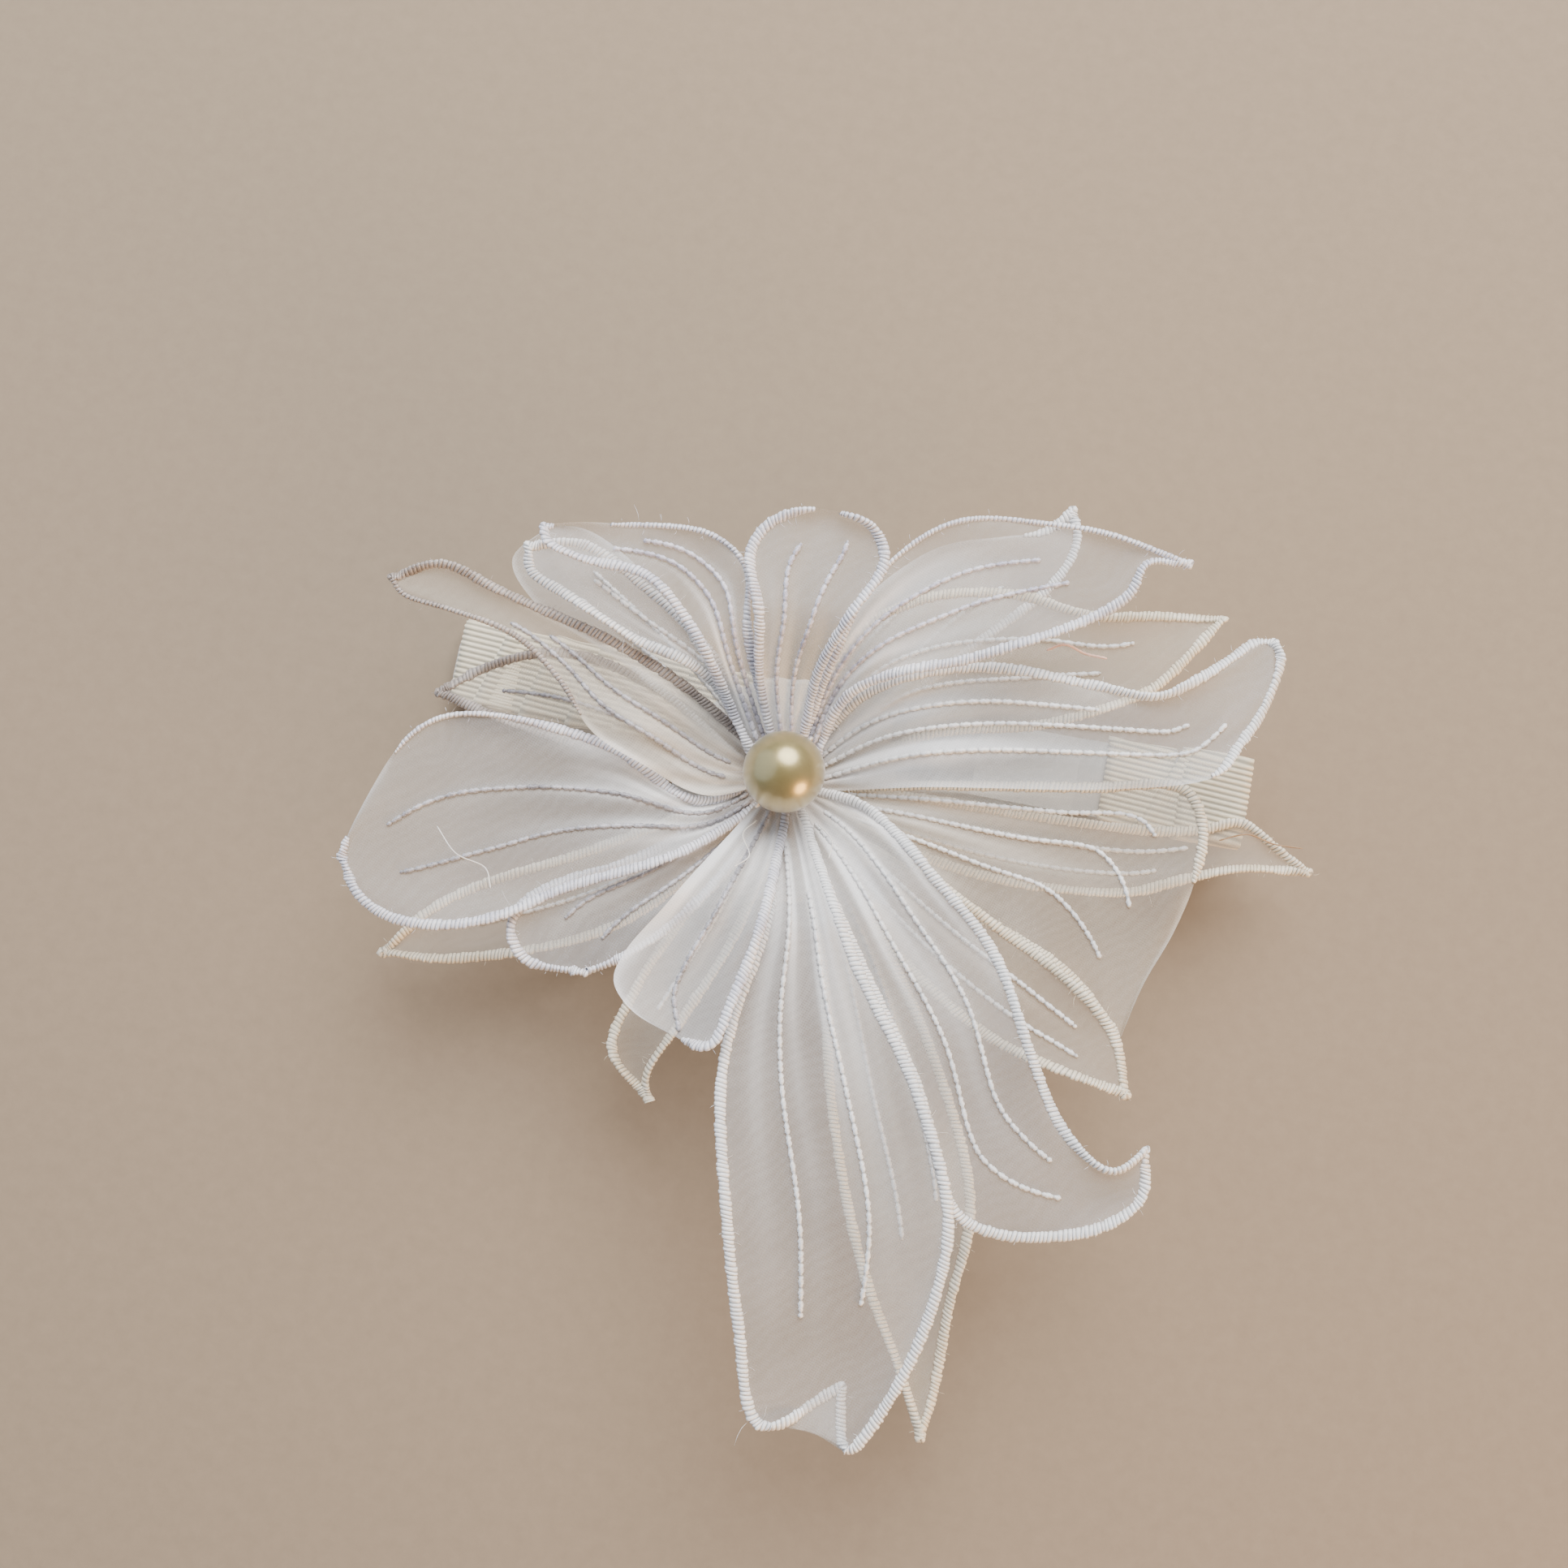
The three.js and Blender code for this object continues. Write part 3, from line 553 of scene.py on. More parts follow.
def felt_material():
    material, nodes, links, shader = new_material("felt")
    fluff = texture(nodes, links, "ShaderNodeTexNoise", 1500, Detail=6.0, Roughness=0.7)
    clumps = texture(nodes, links, "ShaderNodeTexNoise", 260, Detail=4.0)
    tone = colours(nodes, links, clumps.outputs["Fac"], (0.66, 0.64, 0.60), (0.78, 0.76, 0.72))
    links.new(tone, shader.inputs["Base Color"])
    links.new(ramp(nodes, links, fluff.outputs["Fac"], 0.85, 1.0), shader.inputs["Roughness"])
    links.new(bump(nodes, links, fluff.outputs["Fac"], 0.25, 1.0), shader.inputs["Normal"])
    shader.inputs["Sheen Weight"].default_value = 0.5
    return material


def steel_material(name, tone):
    material, nodes, links, shader = new_material(name)
    lines = texture(nodes, links, "ShaderNodeTexNoise", 900, stretch=(0.06, 1, 1), Detail=3.0)
    marks = texture(nodes, links, "ShaderNodeTexNoise", 120, Detail=5.0)
    darker = tuple(c * 0.82 for c in tone)
    links.new(colours(nodes, links, marks.outputs["Fac"], darker, tone),
              shader.inputs["Base Color"])
    links.new(ramp(nodes, links, lines.outputs["Fac"], 0.38, 0.58), shader.inputs["Roughness"])
    links.new(bump(nodes, links, lines.outputs["Fac"], 0.02, 0.5), shader.inputs["Normal"])
    shader.inputs["Metallic"].default_value = 1.0
    return material


def floor_material():
    material, nodes, links, shader = new_material("floor")
    pulp = texture(nodes, links, "ShaderNodeTexNoise", 420, Detail=5.0, Roughness=0.7)
    tone = colours(nodes, links, pulp.outputs["Fac"], (0.275, 0.212, 0.15), (0.305, 0.237, 0.168))
    links.new(tone, shader.inputs["Base Color"])
    links.new(bump(nodes, links, pulp.outputs["Fac"], 0.05, 0.4), shader.inputs["Normal"])
    shader.inputs["Roughness"].default_value = 0.9
    return material


WHITE_CLOTH = organza_material("organza_white", (0.56, 0.56, 0.56), (0.70, 0.70, 0.70),
                               (0.88, 0.88, 0.89))
# painted warm bounce light: an ivory tint on the lower petals' cloth, for light bounced up from
# below
PAINTED_WARM_BOUNCE_CLOTH = organza_material("organza_warm_bounce_painted", (0.60, 0.54, 0.46), (0.72, 0.67, 0.58),
                               (0.86, 0.81, 0.73))
WHITE_SATIN = thread_material("satin_white", (0.80, 0.80, 0.82), (0.97, 0.97, 0.97))
# painted warm bounce light: ivory cords on the lower petals, for light bounced up from below
PAINTED_WARM_BOUNCE_SATIN = thread_material("satin_warm_bounce_painted", (0.74, 0.64, 0.47), (0.93, 0.86, 0.72))
# painted shade: dark grey-brown cords for petals that lie in shade
PAINTED_SHADE_SATIN = thread_material("satin_shade_painted", (0.26, 0.21, 0.185), (0.56, 0.50, 0.46))
WHITE_VEIN = thread_material("vein_white", (0.66, 0.67, 0.69), (0.92, 0.92, 0.92), 0.28)
# painted shade: dark grey veins for petals that lie in shade
PAINTED_SHADE_VEIN = thread_material("vein_shade_painted", (0.21, 0.205, 0.23), (0.56, 0.55, 0.59), 0.26)
# painted cool shade: lavender grey cords and veins for white thread lying in shade
PAINTED_COOL_SHADE_SATIN = thread_material("satin_cool_shade_painted", (0.60, 0.60, 0.70), (0.93, 0.93, 0.98), 0.28)
PAINTED_COOL_SHADE_VEIN = thread_material("vein_cool_shade_painted", (0.40, 0.39, 0.50), (0.78, 0.77, 0.85), 0.26)
# cloth, edge and vein of a petal's tone; every tone but white paints light and shade into them
TONES = {"white": (WHITE_CLOTH, WHITE_SATIN, WHITE_VEIN),
         "ivory": (PAINTED_WARM_BOUNCE_CLOTH, PAINTED_WARM_BOUNCE_SATIN, WHITE_VEIN),
         "silver": (WHITE_CLOTH, PAINTED_COOL_SHADE_SATIN, PAINTED_SHADE_VEIN),
         "violet": (WHITE_CLOTH, PAINTED_COOL_SHADE_SATIN, PAINTED_COOL_SHADE_VEIN),
         "shade": (PAINTED_WARM_BOUNCE_CLOTH, PAINTED_SHADE_SATIN, PAINTED_SHADE_VEIN)}
GATHERED = thread_material("organza_gathered", (0.55, 0.47, 0.38), (0.82, 0.78, 0.72), 0.55)
COTTON = thread_material("cotton_thread", (0.72, 0.66, 0.56), (0.90, 0.86, 0.78), 0.5)
PEARL_COAT = pearl_material()
GROSGRAIN = ribbon_material()
FELT = felt_material()
STEEL = steel_material("plated_steel", (0.43, 0.41, 0.38))
SPRING_STEEL = steel_material("spring_steel", (0.42, 0.41, 0.40))


# ---- Camera, above the flower and a little to its near side ----
CAMERA_DISTANCE = 228.0
CAMERA_ELEVATION = math.radians(83)
CAMERA_FIELD = math.radians(53)
AIM_BELOW = 1.8  # the camera looks this far to the near side of the bead


def add_camera():
    far = to_world(0, 1, 0) - AXIS
    aim = PEARL - far * AIM_BELOW
    level = -math.cos(CAMERA_ELEVATION) * far
    place = aim + CAMERA_DISTANCE * (level + math.sin(CAMERA_ELEVATION) * UP)
    data = bpy.data.cameras.new("camera")
    data.sensor_fit = "HORIZONTAL"
    data.angle = CAMERA_FIELD
    data.clip_start = 0.01
    camera = bpy.data.objects.new("camera", data)
    camera.location = Vector(place * MM)
    look = Vector((aim - place) * MM)
    z_axis = -look.normalized()
    x_axis = Vector(far).cross(z_axis).normalized()
    y_axis = z_axis.cross(x_axis)
    matrix = camera.matrix_world.to_3x3()
    matrix.col[0], matrix.col[1], matrix.col[2] = x_axis, y_axis, z_axis
    camera.rotation_euler = matrix.to_euler()
    bpy.context.scene.collection.objects.link(camera)
    bpy.context.scene.camera = camera


def add_light(name, place, size, power, colour):
    data = bpy.data.lights.new(name, "AREA")
    data.shape = "DISK"
    data.size = size
    data.energy = power
    data.color = colour
    light = bpy.data.objects.new(name, data)
    light.location = to_world(*place) * MM
    light.rotation_euler = (Vector(PEARL * MM) - light.location).to_track_quat("-Z", "Y").to_euler()
    bpy.context.scene.collection.objects.link(light)


def add_studio():
    mesh = bpy.data.meshes.new("floor")
    half = 3.0
    corners = [(-half, -half, 0), (half, -half, 0), (half, half, 0), (-half, half, 0)]
    mesh.from_pydata(corners, [], [(0, 1, 2, 3)])
    mesh.materials.append(floor_material())
    floor = bpy.data.objects.new("floor", mesh)
    bpy.context.scene.collection.objects.link(floor)
    add_light("key", (140, 480, 640), 0.7, 16.0, (1.0, 0.98, 0.96))
    add_light("fill", (-620, 160, 420), 1.2, 4.0, (0.66, 0.80, 1.0))
    add_light("warm", (520, -560, 240), 0.4, 8.0, (1.0, 0.60, 0.28))
    world = bpy.data.worlds.new("studio")
    world.use_nodes = True
    world.node_tree.nodes["Background"].inputs["Color"].default_value = (0.92, 0.95, 1.0, 1)
    world.node_tree.nodes["Background"].inputs["Strength"].default_value = 0.16
    bpy.context.scene.world = world


add_camera()
add_studio()


# ---- Petals ----
def petal_height(level, radius):
    """Height of a petal's middle surface. A higher level is above a lower one everywhere."""
    pitch = (BASE_PITCH + (OPEN_PITCH - BASE_PITCH) * smooth(radius, 4, 24)
             - (OPEN_PITCH - OUTER_PITCH) * smooth(radius, 60, 98))
    return PETAL_BOTTOM + PETAL_RISE * radius + level * pitch


def edge_points(petal, side):
    """Plan points of one edge from the gather to the tip, evenly spaced."""
    tip = np.array(petal["tip"], float)
    out = unit(tip)
    across = np.array([-out[1], out[0]]) * (1 if side == "left" else -1)
    root = out * PETAL_START + across * PETAL_ROOT / 2
    return curve_through([root, *petal[side], tip], ROWS)


def petal_surface(petal, level):
    """Rows of points from the gather to the tip, each from the right edge to the left."""
    draws = random.Random(level + 11)
    left, right = edge_points(petal, "left"), edge_points(petal, "right")
    phase = draws.uniform(0, 6)
    flutter = draws.uniform(0.5, 0.9)
    waves = draws.uniform(2.0, 3.2)
    rows = []
    for i in range(ROWS + 1):
        share = i / ROWS
        row = []
        for j in range(COLUMNS + 1):
            way = j / COLUMNS
            x, y = right[i] + (left[i] - right[i]) * way
            side = 2 * way - 1
            radius, around = math.hypot(x, y), math.atan2(y, x)
            z = petal_height(level, radius)
            z += 1.2 * side ** 2 * smooth(share, 0.2, 0.7) * (1 - share ** 6)
            z += petal.get("curl", 0) * smooth(share, 0.8, 1)
            z += PLEAT_DEPTH * math.cos(PLEATS * around + 0.1 * radius) * smooth(radius, 4, 9) * (
                1 - smooth(radius, 14, 50))
            wave = math.sin(2 * math.pi * waves * share + phase * side)
            z += flutter * abs(side) ** 3 * wave * smooth(share, 0.3, 0.6)
            if "fold" in petal:
                at = petal["fold_at"]
                z += petal["fold"] * smooth(share, at - 0.02, at + 0.02)
            row.append(to_world(x, y, z))
        rows.append(row)
    return np.array(rows)


def density_and_painted_sheen(petal, level):
    """How much denser than a single flat layer the cloth looks at each point of a petal: the
    streaks of its gathers and its bare folds, which are also painted sheen highlights of its pleats
    and rolled edges, and its doubled parts."""
    draws = random.Random(level + 400)
    share = np.linspace(0, 1, ROWS + 1)[:, None]
    way = np.linspace(0, 1, COLUMNS + 1)[None, :]
    dense = np.full((ROWS + 1, COLUMNS + 1), petal.get("doubled", 0.0))
    # streaks of denser, milkier cloth along the gathers, partly painted sheen highlights of the
    # pleats
    for _ in range(8):
        at, bend = draws.uniform(0.06, 0.94), draws.uniform(-0.1, 0.1)
        wide, reach = draws.uniform(0.025, 0.05), draws.uniform(0.35, 0.95)
        spread = ((way - at - bend * share) / (wide + 0.03 * share)) ** 2
        dense += draws.uniform(0.16, 0.5) * np.exp(-spread) * (
            1 - smooth(share, 0.25 * reach, reach))
    dense += 0.34 * (1 - smooth(share, 0, 0.5))
    # painted fold highlight: a strip of denser, milkier cloth along each bare fold
    for side, start, end in petal.get("plain", []):
        off = way if side == "right" else 1 - way
        inside = smooth(share, start - 0.02, start + 0.02) * (1 - smooth(share, end, end + 0.02))
        dense += 0.35 * np.exp(-(off / 0.05) ** 2) * inside
    if "fold" in petal:
        dense += 0.15 * smooth(share, petal["fold_at"] - 0.01, petal["fold_at"] + 0.01)
    return np.clip(dense, 0, 1)


def cord_width(petal, side, i):
    """How wide the stitching is at a row of one edge, as a share of its full width."""
    share = i / ROWS
    narrowed = [smooth(share, start - 0.06, start + 0.06) * (1 - smooth(share, end - 0.02, end))
                for s, start, end in petal.get("thin", []) if s == side]
    return 1 - 0.5 * max(narrowed, default=0)


def corded_runs(petal, grid, normals):
    """The stitched stretches of a petal's edge, each as points, normals and widths, from the right
    edge round the tip to the left."""
    def bare(side, i):
        return any(side == s and a <= i / ROWS <= b for s, a, b in petal.get("plain", []))

    length = np.linalg.norm(np.diff(grid[:, COLUMNS // 2], axis=0), axis=1).sum()
    widths = np.linalg.norm(grid[:, 0] - grid[:, -1], axis=1)
    walk = [("right", i) for i in range(ROWS + 1)]
    walk += [("left", i) for i in range(ROWS - 1, -1, -1)]
    runs, run = [], []
    for side, i in walk:
        if bare(side, i):
            runs.append(run)
            run = []
            continue
        way = min(0.5, EDGE_INSET / max(widths[i], 1e-6))
        way = way if side == "right" else 1 - way
        share = i / ROWS * (1 - EDGE_INSET / length)
        run.append((point_on(grid, share, way), normals[i, round(way * COLUMNS)],
                    [cord_width(petal, side, i)]))
    runs.append(run)
    return [[np.array(column) for column in zip(*run)] for run in runs if len(run) > 5]


def satin_edge(shape, path, normals, widths, draws):
    """A flat ridged cord of satin stitches along a path, lying on the cloth."""
    steps = np.linalg.norm(np.diff(path, axis=0), axis=1)
    stitches = int(steps.sum() / STITCH)
    swell = (0.62, 0.96, 1.06, 0.97)  # height of the rings of one stitch
    reach = (0.90, 1.0, 1.02, 0.98)  # and their width
    count = stitches * len(swell)
    spacing = np.array([draws.uniform(0.75, 1.25) for _ in range(stitches)])
    marks = np.concatenate([[0], np.cumsum(spacing)]) / spacing.sum()
    even = np.linspace(0, 1, 3 * count + 1)
    places = np.interp(np.linspace(0, 1, count + 1), np.linspace(0, 1, stitches + 1), marks)
    dense = resample(np.hstack([path, normals, widths]), 3 * count)
    fine = np.stack([np.interp(places, even, column) for column in dense.T], axis=1)
    rings, detail = [], []
    width, slant = 1.0, 0.0
    for i, row in enumerate(fine):
        point, normal, narrowing = row[:3], unit(row[3:6]), row[6]
        tangent = unit(fine[min(i + 3, count)][:3] - fine[max(i - 3, 0)][:3])
        side = unit(np.cross(normal, tangent))
        part = i % len(swell)
        if part == 0:
            width = draws.uniform(0.86, 1.12)
            slant = draws.uniform(0.15, 0.38)
        ends = min(1.0, 0.4 + min(i, count - i) * STITCH / len(swell) / 5)
        ring = []
        for j in range(10):
            angle = 2 * math.pi * j / 10
            across = math.cos(angle) * EDGE_WIDTH * narrowing * width * reach[part] * ends
            lift = math.sin(angle) * EDGE_HEIGHT * swell[part] * (0.6 + 0.4 * ends)
            ring.append(point + across * side + lift * normal + slant * across * tangent)
        rings.append(ring)
        # painted shade: the ring at the gap between stitches gets a low detail, which darkens the
        # thread there
        detail.append((0.12, 0.9, 1.0, 0.8)[part])
    shape.loft(rings, detail=detail)


def stray_fibres(shape, path, draws, count, longest):
    """Loose ends of thread that stand off a stitched edge."""
    for _ in range(count):
        i = draws.randrange(2, len(path) - 2)
        along = unit(path[i + 1] - path[i - 1])
        away = unit(np.cross(along, UP)) * draws.choice((-1, 1))
        start = path[i] + away * EDGE_WIDTH * 0.8
        bend = along * draws.uniform(-1, 1) + UP * draws.uniform(-0.2, 0.5)
        reach = draws.uniform(0.3, 1) ** 2 * longest
        points = [start + away * reach * t + bend * reach * 0.6 * t * t for t in (0, 0.4, 0.7, 1)]
        shape.thread(points, 0.03, sides=3)


def surface_normals(grid):
    along = np.gradient(grid, axis=0)
    across = np.gradient(grid, axis=1)
    across[-1] = across[-2]  # the tip is one point, so it takes the row before
    normal = np.cross(across, along)
    normal /= np.maximum(np.linalg.norm(normal, axis=2, keepdims=True), 1e-9)
    return np.where(normal[..., 2:] < 0, -normal, normal)


def point_on(grid, share, way):
    """The point of a petal at a share of its length and a way across it."""
    row, column = share * ROWS, way * COLUMNS
    i, j = min(int(row), ROWS - 1), min(int(column), COLUMNS - 1)
    near = grid[i, j] + (grid[i, j + 1] - grid[i, j]) * (column - j)
    far = grid[i + 1, j] + (grid[i + 1, j + 1] - grid[i + 1, j]) * (column - j)
    return near + (far - near) * (row - i)


def add_petal(petal, level):
    name = petal["name"]
    draws = random.Random(100 + level)
    grid = petal_surface(petal, level)
    normals = surface_normals(grid)

    cloth = Shape()
    cloth.grid(grid, density_and_painted_sheen(petal, level))
    cloth_tone, edge_tone, vein_tone = TONES[petal.get("tone", "white")]
    sheet = make_object(f"organza_{name}", cloth, cloth_tone, FLOWER_BODY)
    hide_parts(f"petal_{name}")

    edges = Shape()
    for path, path_normals, widths in corded_runs(petal, grid, normals):
        satin_edge(edges, path, path_normals, widths, draws)
        stray_fibres(edges, path, draws, len(path) // 3, 1.1)
        stray_fibres(edges, path, draws, 2, 3.5)
    hem = make_object(f"satin_edge_{name}", edges, edge_tone, FLOWER_BODY)

    stitched = Shape()
    for way, start, end in petal["veins"]:
        wander, bow = draws.uniform(-0.04, 0.04), draws.uniform(3, 6)
        line = [point_on(grid, share, way + wander * math.sin(bow * share)) + UP * 0.2
                for share in np.linspace(start, end, 20)]
        length = np.linalg.norm(np.diff(line, axis=0), axis=1).sum()
        fine = curve_through(line, int(length / 0.28))
        stitched.thread(fine, VEIN_RADIUS, sides=7, twist=0.25, pulse=0.45, pitch=VEIN_STITCH)
    veins = make_object(f"veins_{name}", stitched, vein_tone, FLOWER_BODY)


for level, petal in enumerate(PETALS):
    add_petal(petal, level)


# ---- Loose threads ----
# Each lies over the flower as plan points in its own axes, above a petal level.
LOOSE_THREADS = [
    ("peach", 12, [(38.5, 18), (41, 18.6), (44, 17.4), (47, 16.4)]),
    ("brown", 1, [(66, -9), (70, -8.2), (74, -9.6), (78, -10.4)]),
    ("pale", 20, [(-4, -6.5), (-6, -9), (-5, -12), (-7, -14)]),
    ("pale", 18, [(5, -7), (7, -10), (6.5, -12.5)]),
    ("pale", 12, [(-50, -8), (-47, -12), (-43, -14), (-42, -17)]),
]
# dark tone, light tone and radius of each kind
LOOSE_KINDS = {"peach": ((0.80, 0.45, 0.33), (0.90, 0.58, 0.45), 0.2),
               "brown": ((0.30, 0.17, 0.08), (0.45, 0.28, 0.15), 0.12),
               "pale": ((0.80, 0.76, 0.70), (0.95, 0.93, 0.90), 0.09)}


def add_loose_threads():
    for kind, (low, high, radius) in LOOSE_KINDS.items():
        material = thread_material(f"loose_{kind}", low, high, 0.45)
        shape = Shape()
        for thread_kind, level, plan in LOOSE_THREADS:
            if thread_kind != kind:
                continue
            points = []
            for i, (x, y) in enumerate(plan):
                lift = 1.2 + 0.9 * (i % 2)
                points.append(to_world(x, y, petal_height(level, math.hypot(x, y)) + lift))
            shape.thread(curve_through(points, 40), radius, sides=5, twist=0.2, pitch=0.8)
        make_object(f"loose_thread_{kind}", shape, material, FLOWER_BODY)


add_loose_threads()


# ---- Gather, threads, bead ----
def ring_at(centre, radius, count, sideways, upward, wobble=None):
    ring = []
    for j in range(count):
        angle = 2 * math.pi * j / count
        r = radius * (wobble(angle) if wobble else 1)
        ring.append(centre + r * (math.cos(angle) * sideways + math.sin(angle) * upward))
    return ring


def add_gather():
    east, north = np.array([1.0, 0, 0]), np.array([0, 1.0, 0])
    shape = Shape()
    low, high = CORE_LOW[2], CORE_HIGH[2]
    radius = (CORE_HIGH - CORE_LOW)[0] / 2
    rings = []
    for i in range(25):
        share = i / 24
        waist = 1 - 0.12 * math.sin(math.pi * share)
        pinch = 1 if share < 0.95 else 0.75
        turn = share * 0.7
        rings.append(ring_at(
            AXIS + UP * (low + (high - low) * share), radius * waist * pinch, 96, east, north,
            lambda a, t=turn: 0.93 + 0.07 * math.cos(13 * (a + t)) * math.cos(5 * (a - t))))
    shape.loft(rings)
    core = make_object("gathered_ends", shape, GATHERED, FLOWER_BODY)
    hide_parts("gather_core")


def add_binding():
    low, high = node_box("binding_thread")
    radius = (high - low)[0] / 2 - 0.28
    turns, per_turn = BINDING_TURNS, 40
    shape = Shape()
    path = []
    for i in range(int(turns * per_turn)):
        angle = 2 * math.pi * i / per_turn
        z = low[2] + 0.3 + ((high - low)[2] - 0.55) * i / (turns * per_turn)
        path.append(AXIS + np.array([radius * math.cos(angle), radius * math.sin(angle), z]))
    shape.thread(path, BINDING_RADIUS, sides=8, twist=0.25, pitch=1.2)
    piece = make_object("gather_binding", shape, COTTON, FLOWER_BODY)
    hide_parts("binding_thread")


def add_bead():
    along = np.array([math.cos(HOLE_TURN), math.sin(HOLE_TURN), 0])
    side = np.cross(along, UP)
    start = math.asin(HOLE_RADIUS / PEARL_RADIUS)
    rings = []
    for angle in np.linspace(start, math.pi - start, 64):
        centre = PEARL - along * PEARL_RADIUS * math.cos(angle)
        rings.append(ring_at(centre, PEARL_RADIUS * math.sin(angle), 96, UP, side))
    for share in (0.5, -0.5):
        rings.append(ring_at(PEARL + along * PEARL_RADIUS * share, HOLE_RADIUS, 96, UP, side))
    shape = Shape()
    shape.loft(rings, closed=True)
    bead = make_object("pearl", shape, PEARL_COAT, FLOWER_BODY)
    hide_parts("pearl_bead")

    around = PEARL_RADIUS + 0.42
    half = [(around * math.cos(a), around * math.sin(a))
            for a in np.radians(np.linspace(-55, -4, 9))]
    half += [(PEARL_RADIUS + 0.12, 0), (PEARL_RADIUS * 0.8, 0), (PEARL_RADIUS * 0.3, 0)]
    whole = half + [(-u, z) for u, z in reversed(half)]
    path = curve_through([PEARL + along * u + UP * z for u, z in whole], 150)
    shape = Shape()
    shape.thread(path, BEAD_THREAD, sides=8, twist=0.2, pitch=1.1)
    piece = make_object("bead_stitch", shape, COTTON, FLOWER_BODY)
    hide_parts("bead_thread")


add_gather()
add_binding()
add_bead()


# ---- Felt ----
def add_felt():
    draws = random.Random(5)
    centre = (FELT_LOW + FELT_HIGH) / 2
    radius = (FELT_HIGH - FELT_LOW)[0] / 2
    thick = (FELT_HIGH - FELT_LOW)[2]
    bumps = [(draws.uniform(0, 6.3), draws.randrange(5, 40), draws.uniform(0.02, 0.09))
             for _ in range(14)]

    def rim(angle):
        return sum(size * math.sin(count * angle + phase) for phase, count, size in bumps)

    profile = []
    for r in np.linspace(0.02, 1, 26):
        profile.append((r, thick / 2))
    profile += [(1.0, thick / 4), (1.0, -thick / 4)]
    profile += [(r, -thick / 2) for r in np.linspace(1, 0.02, 26)]
    rings = []
    for r, z in profile:
        ring = []
        for j in range(120):
            angle = 2 * math.pi * j / 120
            reach = r * (radius - 0.25) + rim(angle) * r ** 3 * 0.8
            if abs(z) < thick / 2 - 0.01:
                reach += 0.15
            dip = draws.uniform(-0.05, 0.05)
            ring.append(centre + np.array([
                reach * math.cos(angle), reach * math.sin(angle), z * 0.94 + dip]))
        rings.append(ring)
    shape = Shape()
    shape.loft(rings)
    disc = make_object("felt_disc", shape, FELT, FLOWER_BODY)
    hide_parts("felt_base")


add_felt()


# ---- Ribbon ----
def section_loop(half_width, half_height, corner, count):
    """Points round a rounded box, evenly spaced, in the YZ plane."""
    fine = []
    for sy, sz, start in ((1, 1, 0), (-1, 1, 90), (-1, -1, 180), (1, -1, 270)):
        for step in range(0, 91, 10):
            a = math.radians(start + step)
            fine.append((sy * (half_width - corner) + corner * math.cos(a),
                         sz * (half_height - corner) + corner * math.sin(a)))
    fine.append(fine[0])
    return resample(fine, count)[:-1]


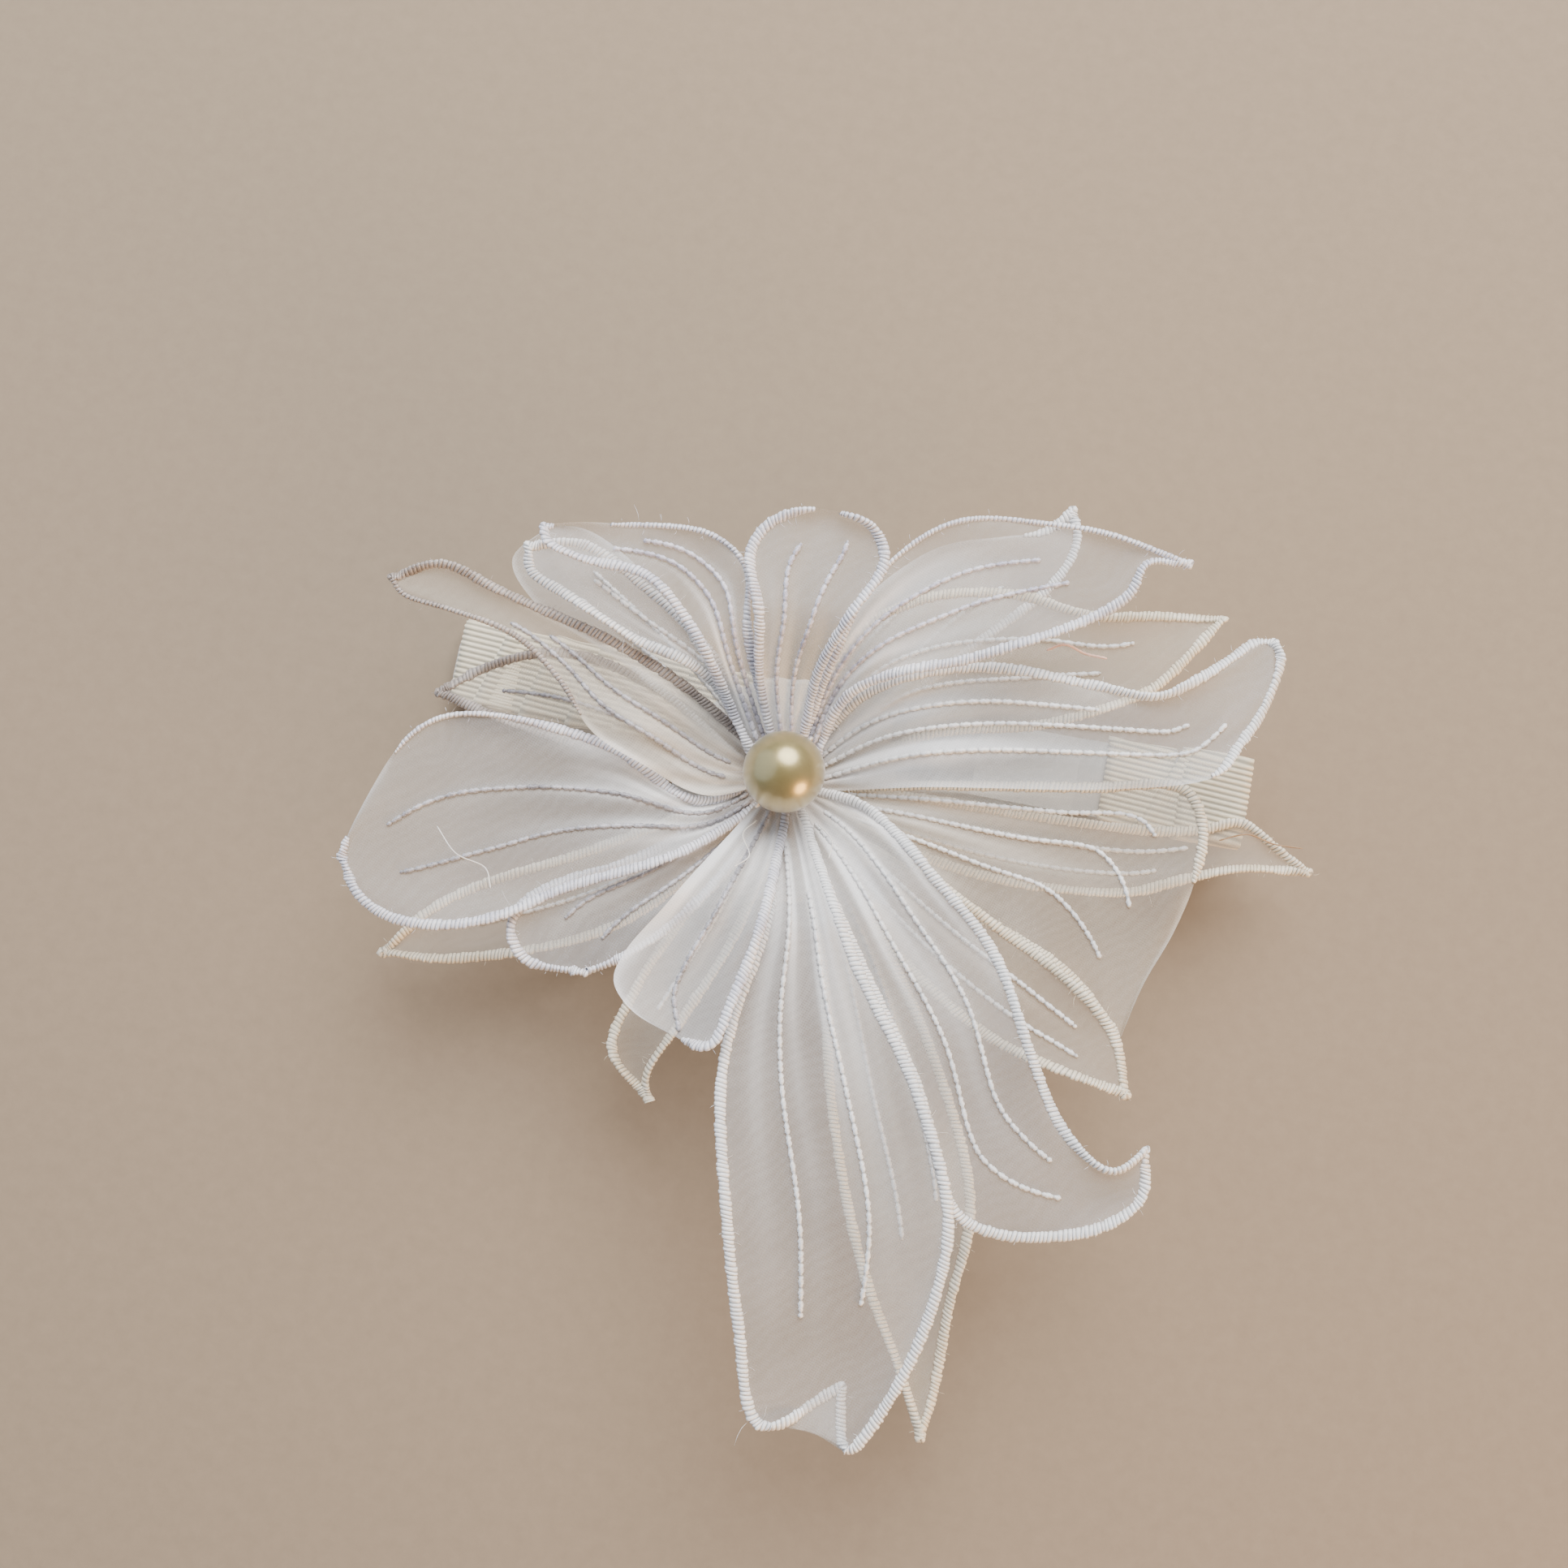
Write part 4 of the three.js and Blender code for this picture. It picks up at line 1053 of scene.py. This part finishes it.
def wound_ribbon(name, node, start, end, height_at):
    """One ribbon wound round the arm from start to end along X, each turn lapping the last."""
    low, high = node_box(node)
    half_width, half_height = (high - low)[1] / 2 - 0.55, 1.02
    turns = max(2, round((end - start - RIBBON_WIDTH) / TURN_PITCH) + 1)
    pitch = (end - start - RIBBON_WIDTH) / (turns - 1)
    loop = np.array(section_loop(half_width, half_height, 0.75, 400))
    corners = np.vstack([loop, loop[:1]])
    around = np.concatenate([[0], np.cumsum(np.linalg.norm(np.diff(corners, axis=0), axis=1))])
    perimeter = around[-1]
    slope = RIB_LEAN * pitch / perimeter
    step = RIB / RIB_ROWS
    middle_y = (low + high)[1] / 2

    def at(distance):
        """Place and outward direction on the arm's section, this far round it."""
        spots = [distance % perimeter, (distance - 0.2) % perimeter, (distance + 0.2) % perimeter]
        place, before, after = (np.array([np.interp(s, around, corners[:, k]) for k in (0, 1)])
                                for s in spots)
        along = unit(after - before)
        out = np.array([along[1], -along[0]])
        return place, out if out.dot(place) > 0 else -out

    rings, detail = [], []
    laid = turns + 0.5  # the last half turn comes back over the top and covers the slanted edge
    for i in range(int(perimeter * laid / step) + 1):
        crown = 0.5 + 0.5 * math.cos(2 * math.pi * (i % RIB_ROWS) / RIB_ROWS)
        turned = i * step / perimeter
        shift = min(max(turned - 0.5, 0), turns - 1) * pitch
        ending = smooth(turned, turns - 0.5, turns - 0.35)
        top, bottom = [], []
        for v in np.linspace(0, 1, 9):
            place, out = at(i * step - v * RIBBON_WIDTH * slope)
            edge = -1 if v == 0 else int(v == 1)
            x = start + shift + v * RIBBON_WIDTH + 0.14 * crown * edge
            lap = 0.02 + TURN_LAP * max(smooth(0.35 - v, 0, 0.35) * (turned > 0.5), ending)
            thin = 0.07 * abs(edge)
            for row, depth in ((top, RIB_DEPTH * crown + RIBBON_THICK / 2 - thin),
                               (bottom, thin - RIBBON_THICK / 2)):
                y, z = place + out * (lap + depth)
                row.append(np.array([x, middle_y - y, height_at(x) + z]))
        rings.append(top + bottom[::-1])
        # painted shade: the crown of each rib sets how far the groove beside it is darkened
        detail.append(crown)
    shape = Shape()
    shape.loft(rings, detail=detail)
    piece = make_object(name, shape, GROSGRAIN, FLOWER_BODY)
    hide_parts(node)


def add_ribbons():
    jaw_low, jaw_high = node_box("ribbon_wrap_jaw")
    thick = (jaw_high - jaw_low)[2]
    middle = (jaw_low + jaw_high)[2] / 2
    wound_ribbon("ribbon_jaw", "ribbon_wrap_jaw", jaw_low[0], jaw_high[0], lambda x: middle)

    low, high = node_box("ribbon_wrap_lever")
    rise = (high - low)[2] - thick

    def lever_middle(x):
        share = (x - low[0]) / (high[0] - low[0])
        return low[2] + thick / 2 + rise * min(max(share, 0), 1)

    wound_ribbon("ribbon_lever", "ribbon_wrap_lever", low[0], high[0], lever_middle)


add_ribbons()


def add_lining():
    low, high = node_box("jaw_lining")
    rings, detail = [], []
    count = int((high - low)[0] / RIB) * RIB_ROWS
    for i in range(count + 1):
        crown = 0.5 + 0.5 * math.cos(2 * math.pi * (i % RIB_ROWS) / RIB_ROWS)
        x = low[0] + (high - low)[0] * i / count
        top, bottom = [], []
        for v in np.linspace(0, 1, 9):
            edge = -1 if v == 0 else int(v == 1)
            y = low[1] + (high - low)[1] * v + 0.12 * crown * edge
            top.append(np.array([x, y, high[2] - RIB_DEPTH * (1 - crown)]))
            bottom.append(np.array([x, y, low[2] + 0.03]))
        rings.append(top + bottom[::-1])
        # painted shade: the crown of each rib sets how far the groove beside it is darkened
        detail.append(crown)
    shape = Shape()
    shape.loft(rings, detail=detail)
    piece = make_object("ribbon_lining", shape, GROSGRAIN, CLIP_BODY)
    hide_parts("jaw_lining")


add_lining()


# ---- Steel ----
for node, material in (("lower_arm", STEEL), ("upper_arm", STEEL), ("hinge_pin", STEEL),
                       ("torsion_spring", SPRING_STEEL)):
    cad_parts[node].data.materials.clear()
    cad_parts[node].data.materials.append(material)
